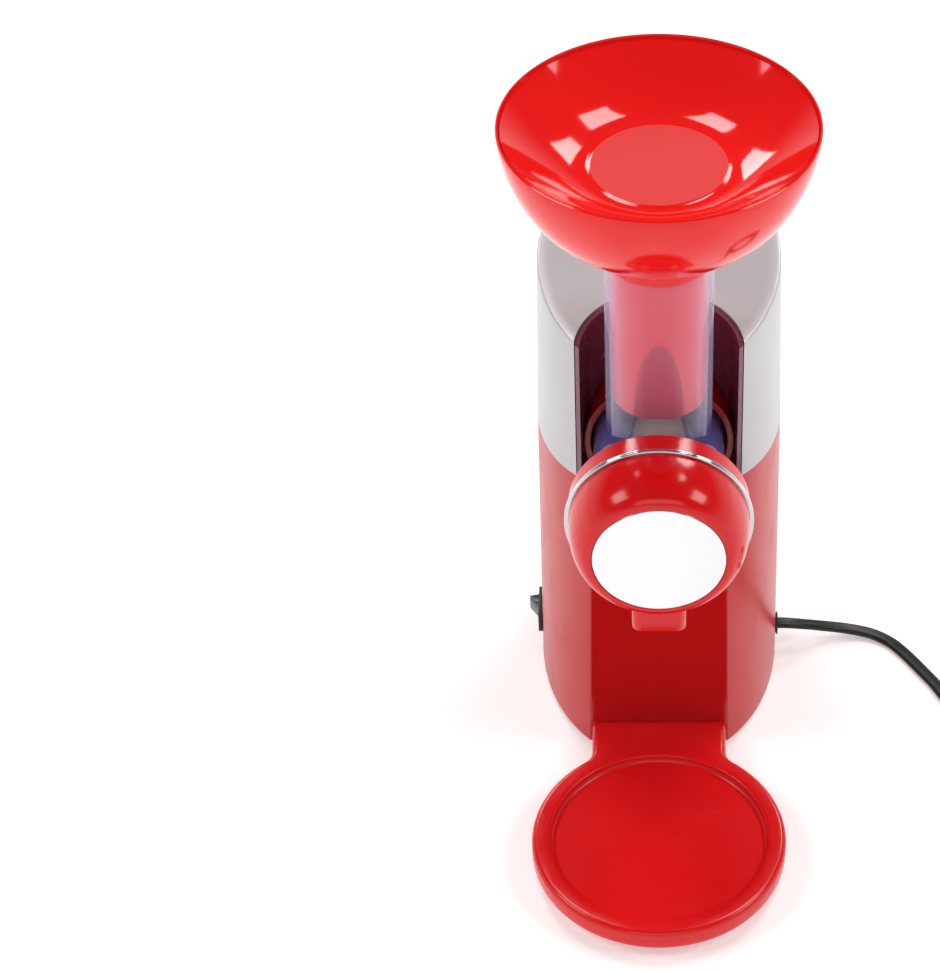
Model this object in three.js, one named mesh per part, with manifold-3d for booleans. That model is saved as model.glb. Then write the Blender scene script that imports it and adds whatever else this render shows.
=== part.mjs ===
// Ice cream maker for frozen fruit: an oval motor column with a silver cover, a clear chute with a
// turning blade cone, a plunger topped by a bowl, a domed outlet cap and a round drip tray.
// Millimetres, +Z up, the front faces -Y. Inside the model group the plunger's axis is X = Y = 0.

import * as THREE from 'three';
import { mergeVertices } from 'three/addons/utils/BufferGeometryUtils.js';
import Module from 'manifold-3d';

const wasm = await Module();
wasm.setup();

// ---------------------------------------------------------------- driving dimensions
const GAP = 0.3;                     // air between pieces that touch
const FOOT_HEIGHT = 3;               // underside of the body above the table
const MODEL_SHIFT_Y = -3.4;          // puts the middle of the whole part on Y = 0

const BODY_Y = 61;                   // middle of the oval column
const BODY_HALF_WIDTH = 57.6;        // at the base
const BODY_MID_WIDTH = 56.2;         // half width at SEAM_Z
const BODY_TOP_WIDTH = 54.2;         // half width at TOP_Z
const BODY_HALF_DEPTH = 83;          // at the base, front to back
const BODY_WALL = 2.5;
const SEAM_Z = 157.4;                // seam of shell and cover, at the middle of each side
const SEAM_LEAN = 2.2;               // how far it drops from the middle to the back
const SEAM_RISE = 15.8;              // how far it curves up towards front and back
const TOP_Z = 245;                   // top plate above the middle of the oval
const TOP_SLOPE = 0.078;             // the top plate rises to the back
const PANEL_Y = -7;                  // flat front of the column
const PANEL_THICK = 2.5;
const REAR_SCREW_X = 37;
const REAR_SCREW_Z = 40;

const AXIS_Z = 180;                  // blade cone, cap and drive shaft
const BAY_RADIUS = 36.8;             // round bite that the chute stands in
const BAY_FLOOR_Z = 138;
const SEAT_RADIUS = 33.5;            // ring that holds the chute's back end
const SEAT_FRONT_Y = 8;

const TUBE_RADIUS = 23.3;
const TUBE_WALL = 2;
const TUBE_TOP_Z = 291;
const HOUSING_RADIUS = 29;
const HOUSING_WALL = 2.5;
const HOUSING_FRONT_Y = -46;
const HOUSING_BACK_Y = 34;
const FLANGE_RADIUS = 32.2;
const CONE_BACK_Y = 30;
const CONE_FRONT_Y = -38;
const CONE_SMALL_RADIUS = 11;
const CONE_LARGE_RADIUS = 24.4;
const BLADE_COUNT = 4;

const BOWL_RADIUS = 66.2;
const BOWL_TOP_Z = 356.5;
const BOWL_DEPTH = 51.5;
const BOWL_WALL = 1.8;
const NECK_RADIUS = 25;              // where the bowl runs into its collar
const DISH_FLOOR_Z = 336.6;
const DISH_FLOOR_RADIUS = 28.2;
const STEM_RADIUS = 20.8;
const STEM_BOTTOM_Z = 216.7;

const CAP_RADIUS = 39.4;
const CAP_BACK_Y = -32;
const RING_Y = -44;
const RING_RADIUS = 41;
const CAP_FRONT_Y = -69.5;
const BADGE_RADIUS = 28.7;
const SPOUT_Y = -53;
const SPOUT_WIDTH = 24;
const SPOUT_DEPTH = 14;
const SPOUT_BOTTOM_Z = 128.6;

const TRAY_Y = -78.6;
const TRAY_RADIUS = 58.6;
const TRAY_TOP_Z = 15.5;
const TRAY_FLOOR_Z = 11.5;
const NECK_HALF_WIDTH = 31.7;
const NECK_FILLET = 8;
const TONGUE_Z = 7;                  // plate inside the column that carries the works
const TONGUE_TOP_Z = 9.5;
const BASE_SCREWS = [[-40, 62], [40, 62], [-20, -42], [20, -42]];
const FEET = [[-34, 100], [34, 100], [-32, -92], [32, -92]];

const GEAR_MODULE = 1.25;
const PINION_TEETH = 12;
const IDLER_TEETH = 36;
const OUTPUT_TEETH = 48;
const IDLER_Z = AXIS_Z - GEAR_MODULE * (IDLER_TEETH + OUTPUT_TEETH) / 2;
const MOTOR_Z = IDLER_Z - GEAR_MODULE * (PINION_TEETH + IDLER_TEETH) / 2;
const GEAR_Y = 51;
const CASE_FRONT_Y = 42;
const CASE_BACK_Y = 60;
const CASE_TOP_RADIUS = 37;
const CASE_LOW_RADIUS = 21;
const GEAR_SCREWS = [[0, 218], [0, 75]];
const MOTOR_RADIUS = 26;
const MOTOR_FRONT_Y = 68;
const MOTOR_BACK_Y = 122;
const MOTOR_SHAFT_RADIUS = 2.5;

const SWITCH_Y = 62.9;
const SWITCH_Z = 23;
const ROCKER_PIVOT_X = -56.6;
const CORD_Y = 59.8;
const CORD_Z = 16.4;
const CORD_WIDTH = 6.2;
const CORD_THICK = 3.1;
const CORD_LIES = CORD_THICK / 2 + 0.15;
const CORD_ROUTE = [
  [36.5, 59.8, 16.4], [46, 59.8, 16.4], [57.5, 59.8, 16.4], [64, 60.4, 15.6], [71.5, 62.3, 13],
  [80.2, 65.3, 9], [93.5, 67.7, 4.6], [106, 66.1, 2.6], [114.8, 61.2, CORD_LIES],
  [119.9, 55.6, CORD_LIES], [124, 50, CORD_LIES], [127.6, 44.5, CORD_LIES], [131.2, 38.9, CORD_LIES],
  [134.8, 33.2, CORD_LIES], [137.6, 28, CORD_LIES], [140, 23.3, CORD_LIES],
];
const COIL_X = 186.6;
const COIL_Y = 22.6;
const COIL_INNER = 29.8;
const COIL_OUTER = 43.2;
const COIL_BOTTOM_Z = 0.8;
const COIL_TOP_Z = 7.6;
const TAIL_ROUTE = [
  [201.6, -10.9, 9.5], [206.2, -8.4, 9.6], [210.4, -5.2, 10], [214, -1.4, 11], [216.9, 3, 12.4],
  [219.2, 7.6, 13.6], [220.8, 12, 14.3],
];
const PLUG_PLACE = [221.3, 13.6, 14.4];
const PLUG_HEADING = 100;            // degrees from +X, the way the blades point

// ---------------------------------------------------------------- materials
function plastic(colour, roughness) {
  return new THREE.MeshStandardMaterial({ color: colour, roughness, metalness: 0 });
}

function metal(colour, roughness) {
  return new THREE.MeshStandardMaterial({ color: colour, roughness, metalness: 1 });
}

const RED = plastic(0xb81c22, 0.3);
const BRIGHT_RED = plastic(0xdf2320, 0.25);
const DARK_RED = plastic(0x6e0a0e, 0.4);
const PLUM = plastic(0x3f2430, 0.45);
const SILVER = metal(0xc3c1be, 0.38);
const CHROME = metal(0xe6e6e8, 0.08);
const STEEL = metal(0xa9abae, 0.35);
const BRASS = metal(0xb08d4a, 0.35);
const COPPER = metal(0xb0683f, 0.4);
const BLACK = plastic(0x1b1b1c, 0.5);
const RUBBER = plastic(0x232325, 0.85);
const GREY = plastic(0x8b8d90, 0.5);
const WHITE = plastic(0xe9e7e2, 0.5);
const FERRITE = plastic(0x2c2a2b, 0.8);
const CLEAR = new THREE.MeshStandardMaterial({
  color: 0xcfcfe0, roughness: 0.05, metalness: 0, transparent: true, opacity: 0.4,
});

// ---------------------------------------------------------------- solids
// A closed three.js geometry as a solid, turned right side out where its winding needs it.
function solid(geometry) {
  const bare = geometry.clone();
  bare.deleteAttribute('normal');
  bare.deleteAttribute('uv');
  const merged = mergeVertices(bare, 1e-4);
  const places = merged.getAttribute('position').array;
  const corners = merged.index.array;
  const corner = (k) => new THREE.Vector3().fromArray(places, 3 * k);
  const kept = [];
  let volume = 0;
  for (let i = 0; i < corners.length; i += 3) {
    const [a, b, c] = corners.slice(i, i + 3);
    if (a !== b && b !== c && c !== a) {
      kept.push(a, b, c);
      volume += corner(a).dot(corner(b).cross(corner(c)));
    }
  }
  if (volume < 0) kept.reverse();
  return new wasm.Manifold(new wasm.Mesh({
    numProp: 3,
    vertProperties: new Float32Array(places),
    triVerts: new Uint32Array(kept),
  }));
}

function joined(...parts) {
  return parts.reduce((whole, part) => whole.add(part));
}

function cut(whole, ...tools) {
  return tools.reduce((rest, tool) => rest.subtract(tool), whole);
}

function geometryOf(body) {
  const mesh = body.getMesh();
  const geometry = new THREE.BufferGeometry();
  geometry.setAttribute('position', new THREE.BufferAttribute(new Float32Array(mesh.vertProperties), 3));
  geometry.setIndex(new THREE.BufferAttribute(new Uint32Array(mesh.triVerts), 1));
  geometry.computeVertexNormals();
  return geometry;
}

function box(x0, x1, y0, y1, z0, z1) {
  const geometry = new THREE.BoxGeometry(x1 - x0, y1 - y0, z1 - z0);
  geometry.translate((x0 + x1) / 2, (y0 + y1) / 2, (z0 + z1) / 2);
  return solid(geometry);
}

// Round bars along Z, Y and X. The first two numbers are the axis's place.
function rodZ(x, y, radius, z0, z1, sides = 24) {
  const geometry = new THREE.CylinderGeometry(radius, radius, z1 - z0, sides);
  geometry.rotateX(Math.PI / 2);
  geometry.translate(x, y, (z0 + z1) / 2);
  return solid(geometry);
}

function rodY(x, z, radius, y0, y1, sides = 24) {
  const geometry = new THREE.CylinderGeometry(radius, radius, y1 - y0, sides);
  geometry.translate(x, (y0 + y1) / 2, z);
  return solid(geometry);
}

function rodX(y, z, radius, x0, x1, sides = 24) {
  const geometry = new THREE.CylinderGeometry(radius, radius, x1 - x0, sides);
  geometry.rotateZ(Math.PI / 2);
  geometry.translate((x0 + x1) / 2, y, z);
  return solid(geometry);
}

// Turned shapes. Points are [radius, place along the axis]; the outline closes on itself or on the axis.
function turnedZ(points, sides, x = 0, y = 0) {
  const geometry = new THREE.LatheGeometry(points.map(([r, z]) => new THREE.Vector2(r, z)), sides);
  geometry.rotateX(Math.PI / 2);
  geometry.translate(x, y, 0);
  return solid(geometry);
}

function turnedY(points, sides, x = 0, z = AXIS_Z) {
  const geometry = new THREE.LatheGeometry(points.map(([r, y]) => new THREE.Vector2(r, y)), sides);
  geometry.translate(x, 0, z);
  return solid(geometry);
}

function ringY(outer, inner, y0, y1, z = AXIS_Z, sides = 32) {
  return turnedY([[inner, y0], [outer, y0], [outer, y1], [inner, y1], [inner, y0]], sides, 0, z);
}

// An outline in X and Y pushed up from z0 to z1.
function slabZ(shape, z0, z1, curveSegments = 8) {
  const geometry = new THREE.ExtrudeGeometry(shape, { depth: z1 - z0, bevelEnabled: false, curveSegments });
  geometry.translate(0, 0, z0);
  return solid(geometry);
}

// An outline in X and Z pushed back from y0 to y1.
function slabY(shape, y0, y1, curveSegments = 8) {
  const geometry = new THREE.ExtrudeGeometry(shape, { depth: y1 - y0, bevelEnabled: false, curveSegments });
  geometry.rotateX(Math.PI / 2);
  geometry.translate(0, y1, 0);
  return solid(geometry);
}

// A polygon in Y and Z pushed across from x0 to x1.
function slabX(points, x0, x1) {
  const shape = new THREE.Shape(points.map(([y, z]) => new THREE.Vector2(y, z)));
  const geometry = new THREE.ExtrudeGeometry(shape, { depth: x1 - x0, bevelEnabled: false });
  geometry.applyMatrix4(new THREE.Matrix4().makeBasis(
    new THREE.Vector3(0, 1, 0), new THREE.Vector3(0, 0, 1), new THREE.Vector3(1, 0, 0)));
  geometry.translate(x0, 0, 0);
  return solid(geometry);
}

// ---------------------------------------------------------------- the oval column
const SIDE_REACH = 70;               // past the widest part of the column
const COLUMN_SIDES = 40;
const ROUND_SIDES = 32;               // bowl, cap and chute

function halfWidthAt(z) {
  const low = [FOOT_HEIGHT, BODY_HALF_WIDTH];
  const middle = [SEAM_Z, BODY_MID_WIDTH];
  const high = [TOP_Z, BODY_TOP_WIDTH];
  const [from, to] = z < SEAM_Z ? [low, middle] : [middle, high];
  return from[1] + (to[1] - from[1]) * (z - from[0]) / (to[0] - from[0]);
}

function ovalColumn(inset, z0, z1) {
  const levels = z0 < SEAM_Z && z1 > SEAM_Z ? [z0, SEAM_Z, z1] : [z0, z1];
  const wall = levels.map((z) => new THREE.Vector2(halfWidthAt(z) - inset, z));
  const geometry = new THREE.LatheGeometry(
    [new THREE.Vector2(0, z0), ...wall, new THREE.Vector2(0, z1)], COLUMN_SIDES);
  geometry.rotateX(Math.PI / 2);
  geometry.scale(1, (BODY_HALF_DEPTH - inset) / (BODY_HALF_WIDTH - inset), 1);
  geometry.translate(0, BODY_Y, 0);
  return solid(geometry);
}

function seamHeight(y) {
  const along = (y - BODY_Y) / BODY_HALF_DEPTH;
  return SEAM_Z - SEAM_LEAN * along + SEAM_RISE * along * along;
}

// Everything from the given height above the seam upwards.
function aboveSeam(lift) {
  const points = [];
  for (let y = -27; y <= 151; y += 22) points.push([y, seamHeight(y) + lift]);
  return slabX([...points, [149, 330], [-27, 330]], -SIDE_REACH, SIDE_REACH);
}

function aboveTop(lift) {
  const height = (y) => TOP_Z + TOP_SLOPE * (y - BODY_Y) + lift;
  return slabX([[-30, height(-30)], [160, height(160)], [160, 330], [-30, 330]], -SIDE_REACH, SIDE_REACH);
}

function bayCut(radius, floor) {
  return joined(rodZ(0, 0, radius, floor, 320, COLUMN_SIDES), box(-radius, radius, -60, 0, floor, 320));
}

function bodyShell() {
  const wall = cut(ovalColumn(0, FOOT_HEIGHT, 190), ovalColumn(BODY_WALL, 0, 195), aboveSeam(-GAP / 2));
  const lip = cut(ovalColumn(BODY_WALL - 0.2, 140, 190), ovalColumn(4.2, 135, 195), aboveSeam(6))
    .intersect(aboveSeam(-7));
  const bosses = [-1, 1].map((side) => rodY(side * REAR_SCREW_X, REAR_SCREW_Z, 7, 104, 140)
    .intersect(ovalColumn(0.5, FOOT_HEIGHT, 100)));
  const bores = [-1, 1].map((side) => joined(
    rodY(side * REAR_SCREW_X, REAR_SCREW_Z, 4, 112, 150),
    rodY(side * REAR_SCREW_X, REAR_SCREW_Z, 1.9, 90, 150, 16)));
  return cut(joined(wall, lip, ...bosses), ...bores,
    box(-80, 80, -40, PANEL_Y + PANEL_THICK + GAP, 0, BAY_FLOOR_Z + 1),
    bayCut(BAY_RADIUS, BAY_FLOOR_Z),
    box(-70, -50, SWITCH_Y - 8.6, SWITCH_Y + 8.6, SWITCH_Z - 5.6, SWITCH_Z + 5.6),
    rodX(CORD_Y, CORD_Z, 5.2, 45, 70));
}

function topCover() {
  const inside = cut(ovalColumn(2, 135, 275), aboveTop(-2.4));
  return cut(ovalColumn(0, 140, 275), aboveTop(0), inside, bayCut(BAY_RADIUS, 100))
    .intersect(aboveSeam(GAP / 2));
}

function bayLiner() {
  const outer = BAY_RADIUS - GAP;
  const cup = cut(rodZ(0, 0, outer, BAY_FLOOR_Z + GAP, 262, COLUMN_SIDES),
    rodZ(0, 0, outer - 2, BAY_FLOOR_Z + 2.6, 300, COLUMN_SIDES));
  return cut(cup.intersect(ovalColumn(GAP, 130, 275)),
    box(-60, 60, -60, PANEL_Y + GAP, 130, 300),
    rodY(0, AXIS_Z, SEAT_RADIUS + GAP, 2, 60, ROUND_SIDES),
    aboveTop(-1.2));
}

function frontPanel() {
  return box(-60, 60, PANEL_Y, PANEL_Y + PANEL_THICK, TRAY_TOP_Z + GAP, BAY_FLOOR_Z - GAP)
    .intersect(ovalColumn(0, FOOT_HEIGHT, 150));
}

function rearScrew(side) {
  return turnedY([[0, 92], [1.5, 93], [1.5, 112.3], [3.4, 112.3], [3.1, 114.6], [0, 115]], 16,
    side * REAR_SCREW_X, REAR_SCREW_Z);
}

// ---------------------------------------------------------------- foot, tray and base plate
// The neck runs forward from the column and meets the round tray in two fillets.
function footOutline(inset, backY) {
  const half = NECK_HALF_WIDTH - inset;
  const fillet = NECK_FILLET + inset;
  const radius = TRAY_RADIUS - inset;
  const rise = Math.sqrt((radius + fillet) ** 2 - (half + fillet) ** 2);
  const turn = Math.atan2(rise, half + fillet);
  const shape = new THREE.Shape();
  shape.moveTo(half, backY);
  shape.lineTo(half, TRAY_Y + rise);
  shape.absarc(half + fillet, TRAY_Y + rise, fillet, Math.PI, Math.PI + turn, false);
  shape.lineTo(-radius * Math.cos(turn), TRAY_Y + radius * Math.sin(turn));
  shape.absarc(-half - fillet, TRAY_Y + rise, fillet, -turn, 0, false);
  shape.lineTo(-half, backY);
  return shape;
}

function baseTray() {
  const low = FOOT_HEIGHT + GAP;
  const disc = turnedZ([[0, low], [54, low], [57.4, 5.6], [TRAY_RADIUS, 9.6], [58, 12.6], [56.6, 14.5],
    [54.2, TRAY_TOP_Z], [0, TRAY_TOP_Z]], COLUMN_SIDES, 0, TRAY_Y);
  const discHollow = turnedZ([[0, 0], [52.6, 0], [52.6, 9], [0, 9]], ROUND_SIDES, 0, TRAY_Y);
  const recess = turnedZ([[0, TRAY_FLOOR_Z], [48.6, TRAY_FLOOR_Z], [50.1, 13], [50.6, TRAY_TOP_Z + 1],
    [0, TRAY_TOP_Z + 1]], COLUMN_SIDES, 0, TRAY_Y);
  const neck = footOutline(2.4, PANEL_Y + 3.4);
  const neckHollow = joined(slabZ(neck, 0, 9, 6),
    slabZ(neck, 8, 12.4, 6).intersect(box(-40, 40, TRAY_Y + 54, 10, 0, 30)));
  const tongue = ovalColumn(3, TONGUE_Z, TONGUE_TOP_Z).intersect(box(-80, 80, PANEL_Y + 4, 160, 0, 30));
  const posts = BASE_SCREWS.filter(([, y]) => y < 0)
    .map(([x, y]) => rodZ(x, y, 4, FOOT_HEIGHT + 2 + GAP, 10.5, 16));
  const holes = BASE_SCREWS.map(([x, y]) => rodZ(x, y, 2, 0, 10.6, 12));
  const shell = cut(joined(slabZ(footOutline(0, PANEL_Y + 6), low, TRAY_TOP_Z - 0.1, 6), disc),
    neckHollow, discHollow, recess);
  return cut(joined(shell, tongue, ...posts), ...holes);
}

function basePlate() {
  const z1 = FOOT_HEIGHT + 2;
  const under = ovalColumn(3, FOOT_HEIGHT, z1).intersect(box(-80, 80, PANEL_Y + 7, 160, 0, 30));
  const strip = box(-26, 26, -60, PANEL_Y + 3, FOOT_HEIGHT, z1);
  const bridge = box(-24, 24, -20, 10, FOOT_HEIGHT, FOOT_HEIGHT + GAP / 2);
  const trim = rodZ(0, TRAY_Y, 52.2, FOOT_HEIGHT, z1, ROUND_SIDES);
  const holes = [
    ...BASE_SCREWS.map(([x, y]) => rodZ(x, y, 2, 0, 30, 12)),
    ...FEET.map(([x, y]) => rodZ(x, y, 2.7, 0, 30, 12)),
  ];
  return cut(joined(under, bridge, strip, trim), ...holes);
}

function foot([x, y]) {
  return turnedZ([[0, 0], [6.4, 0], [7, 0.8], [6.6, 2.7], [2.3, 2.7], [2.3, 5.3], [3.4, 5.3], [2, 6.5],
    [0, 6.5]], 14, x, y);
}

function baseScrew([x, y]) {
  return turnedZ([[0, 0.9], [2.4, 0.9], [3.2, 2.7], [1.6, 2.7], [1.6, 9.6], [0, 10.3]], 12, x, y);
}

// ---------------------------------------------------------------- gears
function driveSeat() {
  const inner = HOUSING_RADIUS + 1.2;
  const back = CASE_FRONT_Y - GAP;
  const ring = turnedY([[inner, SEAT_FRONT_Y], [SEAT_RADIUS, SEAT_FRONT_Y], [SEAT_RADIUS, back],
    [9, back], [9, back - 3.2], [inner, back - 3.2], [inner, SEAT_FRONT_Y]], ROUND_SIDES);
  return cut(ring, rodZ(0, 0, TUBE_RADIUS + 1, AXIS_Z, 230));
}

// Two round ends of different size joined by their common tangents.
function teardrop(inset) {
  const top = CASE_TOP_RADIUS - inset;
  const low = CASE_LOW_RADIUS - inset;
  const lean = Math.asin((top - low) / (AXIS_Z - MOTOR_Z));
  const shape = new THREE.Shape();
  shape.absarc(0, AXIS_Z, top, -lean, Math.PI + lean, false);
  shape.absarc(0, MOTOR_Z, low, Math.PI + lean, 2 * Math.PI - lean, false);
  return shape;
}

function gearCase() {
  const wall = 2.5;
  const floor = TONGUE_TOP_Z + GAP;
  const pedestal = joined(
    box(-20, 20, CASE_FRONT_Y, CASE_FRONT_Y + wall, floor, MOTOR_Z),
    box(-28, 28, CASE_FRONT_Y, CASE_BACK_Y, floor, floor + 3),
    box(-20, -17.5, CASE_FRONT_Y, CASE_BACK_Y, floor, MOTOR_Z - 8),
    box(17.5, 20, CASE_FRONT_Y, CASE_BACK_Y, floor, MOTOR_Z - 8));
  const tub = cut(joined(slabY(teardrop(0), CASE_FRONT_Y, CASE_BACK_Y, 8), pedestal),
    slabY(teardrop(wall), CASE_FRONT_Y + wall, CASE_BACK_Y + 5, 8));
  const bosses = GEAR_SCREWS.map(([x, z]) => rodY(x, z, 3.6, CASE_FRONT_Y + 1, CASE_BACK_Y, 16));
  return cut(joined(tub, ...bosses),
    rodY(0, AXIS_Z, 8, 30, 50, 32),
    rodY(0, IDLER_Z, 3.3, 30, 50, 16),
    ...GEAR_SCREWS.map(([x, z]) => rodY(x, z, 1.8, CASE_FRONT_Y + 4, CASE_BACK_Y + 3, 12)));
}

function gearCover() {
  const front = CASE_BACK_Y + GAP;
  const back = front + 2.5;
  const plate = joined(slabY(teardrop(0), front, back, 8),
    ...GEAR_SCREWS.map(([x, z]) => rodY(x, z, 4.6, front, back, 16)));
  return cut(plate, rodY(0, AXIS_Z, 5.4, 50, 70), rodY(0, IDLER_Z, 3.3, 50, 70, 16),
    rodY(0, MOTOR_Z, 7.4, 50, 70), ...GEAR_SCREWS.map(([x, z]) => rodY(x, z, 2.1, 50, 70, 12)));
}

function gearScrew([x, z]) {
  const seat = CASE_BACK_Y + 2 * GAP + 2.5;
  return turnedY([[0, CASE_FRONT_Y + 5], [1.5, CASE_FRONT_Y + 6], [1.5, seat], [3.2, seat],
    [2.6, seat + 2], [0, seat + 2.2]], 12, x, z);
}

// A spur gear with straight-sided teeth. firstTooth is the angle of one tooth, from +X towards +Z.
function gear(teeth, firstTooth, bore, z, halfFace) {
  const pitch = GEAR_MODULE * teeth / 2;
  const step = 2 * Math.PI / teeth;
  const root = pitch - 1.3 * GEAR_MODULE;
  const tip = pitch + 0.92 * GEAR_MODULE;
  const marks = [[-0.29, root], [-0.1, tip], [0.1, tip], [0.29, root]];
  const points = [];
  for (let tooth = 0; tooth < teeth; tooth += 1) {
    for (const [share, radius] of marks) {
      const angle = firstTooth + (tooth + share) * step;
      points.push(new THREE.Vector2(radius * Math.cos(angle), radius * Math.sin(angle)));
    }
  }
  const shape = new THREE.Shape(points);
  return cut(slabY(shape, GEAR_Y - halfFace, GEAR_Y + halfFace), rodY(0, 0, bore, 30, 70))
    .translate([0, 0, z]);
}

const UP = Math.PI / 2;

function pinion() {
  return gear(PINION_TEETH, UP, MOTOR_SHAFT_RADIUS + 0.3, MOTOR_Z, 4.5);
}

// A gap of the idler faces down to the pinion's tooth, so a gap faces up too.
function idlerGear() {
  return gear(IDLER_TEETH, UP + Math.PI / IDLER_TEETH, 3.3, IDLER_Z, 3);
}

function outputGear() {
  return gear(OUTPUT_TEETH, -UP, 5.4, AXIS_Z, 3.4);
}

function driveShaft() {
  return joined(rodY(0, AXIS_Z, 5, 36, 64), rodY(0, AXIS_Z, 5.4, -12, 36.5, 6));
}

// ---------------------------------------------------------------- motor
function rotorCore() {
  const slots = [];
  for (let i = 0; i < 7; i += 1) {
    slots.push(box(13, 18, 70, 110, -1.1, 1.1).rotate([0, i * 360 / 7, 0]).translate([0, 0, MOTOR_Z]));
  }
  return cut(ringY(16, 2.8, 76, 104, MOTOR_Z, 28), ...slots);
}

function motorBell(y0, y1) {
  const vents = [0, 1, 2, 3].map((i) => {
    const angle = (i + 0.5) * Math.PI / 2;
    return rodY(16 * Math.cos(angle), MOTOR_Z + 16 * Math.sin(angle), 4, y0 - 5, y1 + 5, 8);
  });
  return cut(ringY(MOTOR_RADIUS, 2.8, y0, y1, MOTOR_Z, 24), ...vents);
}

function magnet(side) {
  const near = side < 0 ? -40 : 8;
  return ringY(MOTOR_RADIUS - 1.9, 17.5, 78, 102, MOTOR_Z, 28)
    .intersect(box(near, near + 32, 60, 120, 50, 150));
}

function fan() {
  const blades = [];
  for (let i = 0; i < 6; i += 1) {
    blades.push(box(5.2, 21, 126.5, 131.5, -0.7, 0.7).rotate([0, i * 60, 0]).translate([0, 0, MOTOR_Z]));
  }
  return joined(ringY(6, 2.8, 126, 132, MOTOR_Z, 20), ...blades);
}

function motorCradle() {
  return cut(box(-17, 17, 92, 104, TONGUE_TOP_Z + GAP, 84), rodY(0, MOTOR_Z, MOTOR_RADIUS + GAP, 60, 120, 36),
    box(-12, 12, 80, 120, 16, 62));
}

// ---------------------------------------------------------------- food path
function chute() {
  const bore = HOUSING_RADIUS - HOUSING_WALL;
  const housing = turnedY([[0, HOUSING_FRONT_Y], [FLANGE_RADIUS, HOUSING_FRONT_Y],
    [FLANGE_RADIUS, HOUSING_FRONT_Y + 2.6], [HOUSING_RADIUS, HOUSING_FRONT_Y + 3.4],
    [HOUSING_RADIUS, HOUSING_BACK_Y], [0, HOUSING_BACK_Y]], ROUND_SIDES);
  return cut(joined(housing, rodZ(0, 0, TUBE_RADIUS, AXIS_Z, TUBE_TOP_Z, ROUND_SIDES)),
    rodY(0, AXIS_Z, bore, HOUSING_FRONT_Y - 5, HOUSING_BACK_Y - 2.5, ROUND_SIDES),
    rodZ(0, 0, TUBE_RADIUS - TUBE_WALL, AXIS_Z, TUBE_TOP_Z + 5, ROUND_SIDES),
    rodY(0, AXIS_Z, 9, 0, 60));
}

function bladeOutline(grow) {
  const slope = (CONE_LARGE_RADIUS - CONE_SMALL_RADIUS) / (CONE_FRONT_Y - CONE_BACK_Y);
  const radius = (y) => CONE_SMALL_RADIUS + slope * (y - CONE_BACK_Y);
  const back = CONE_BACK_Y - 8 + grow;
  const front = CONE_FRONT_Y + 3 - grow;
  return [[back, radius(back) - 2 - grow], [back, radius(back) + 1], [front, radius(front) + 1],
    [front, radius(front) - 2 - grow]];
}

function coneBlade(i, grow) {
  return slabX(bladeOutline(grow), -0.5 - grow, 0.5 + grow).rotate([0, (i + 0.5) * 360 / BLADE_COUNT, 0])
    .translate([0, 0, AXIS_Z]);
}

function bladeCone() {
  const body = turnedY([[0, CONE_BACK_Y], [CONE_SMALL_RADIUS, CONE_BACK_Y],
    [CONE_LARGE_RADIUS, CONE_FRONT_Y], [20, CONE_FRONT_Y - 4], [0, CONE_FRONT_Y - 5]], 40);
  const slots = [...Array(BLADE_COUNT).keys()].map((i) => coneBlade(i, GAP));
  return cut(body, rodY(0, AXIS_Z, 6, CONE_FRONT_Y + 22, 60, 6), ...slots);
}

function chuteSeal() {
  return ringY(8.7, 6.2, HOUSING_BACK_Y - 2.4, HOUSING_BACK_Y - 0.1, AXIS_Z, 32);
}

function bowlRadius(z) {
  const share = (BOWL_TOP_Z - z) / BOWL_DEPTH;
  return NECK_RADIUS + (BOWL_RADIUS - NECK_RADIUS) * Math.sqrt(1 - share ** 1.7);
}

// The levels crowd together near the bottom, where the bowl runs in towards its collar.
function bowlWall(inset, topZ) {
  const points = [];
  for (const share of [0.995, 0.95, 0.84, 0.64, 0.36, 0]) {
    const z = topZ - share * (topZ - BOWL_TOP_Z + BOWL_DEPTH - inset);
    points.push([bowlRadius(Math.min(z, BOWL_TOP_Z)) - inset, z]);
  }
  return points;
}

function plunger() {
  const collarZ = TUBE_TOP_Z + GAP;
  const inner = STEM_RADIUS - 2;
  return turnedZ([[0, STEM_BOTTOM_Z], [STEM_RADIUS, STEM_BOTTOM_Z], [STEM_RADIUS, collarZ],
    [TUBE_RADIUS - 0.4, collarZ], [TUBE_RADIUS, 303], ...bowlWall(0, BOWL_TOP_Z),
    ...bowlWall(BOWL_WALL, BOWL_TOP_Z).reverse(),
    [inner, 303], [inner, STEM_BOTTOM_Z + 2], [0, STEM_BOTTOM_Z + 2]], ROUND_SIDES);
}

function dishHeight(radius) {
  const share = Math.max(0, radius - DISH_FLOOR_RADIUS) / (BOWL_RADIUS - DISH_FLOOR_RADIUS);
  return DISH_FLOOR_Z + (BOWL_TOP_Z - DISH_FLOOR_Z) * share ** 1.5;
}

function plungerDish() {
  const outer = BOWL_RADIUS - BOWL_WALL - GAP;
  const radii = [outer - 0.6, 53, 42, 34, DISH_FLOOR_RADIUS];
  const top = radii.map((r) => [r, dishHeight(r)]);
  const under = radii.map((r) => [r, dishHeight(r) - 2]).reverse();
  return turnedZ([[0, DISH_FLOOR_Z - 2], ...under, ...top, [0, DISH_FLOOR_Z]], ROUND_SIDES);
}

// ---------------------------------------------------------------- outlet cap
function roundedBox(width, depth, corner, y) {
  const [w, d] = [width / 2 - corner, depth / 2 - corner];
  const shape = new THREE.Shape();
  shape.absarc(w, y + d, corner, 0, Math.PI / 2, false);
  shape.absarc(-w, y + d, corner, Math.PI / 2, Math.PI, false);
  shape.absarc(-w, y - d, corner, Math.PI, 1.5 * Math.PI, false);
  shape.absarc(w, y - d, corner, 1.5 * Math.PI, 2 * Math.PI, false);
  return shape;
}

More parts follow.
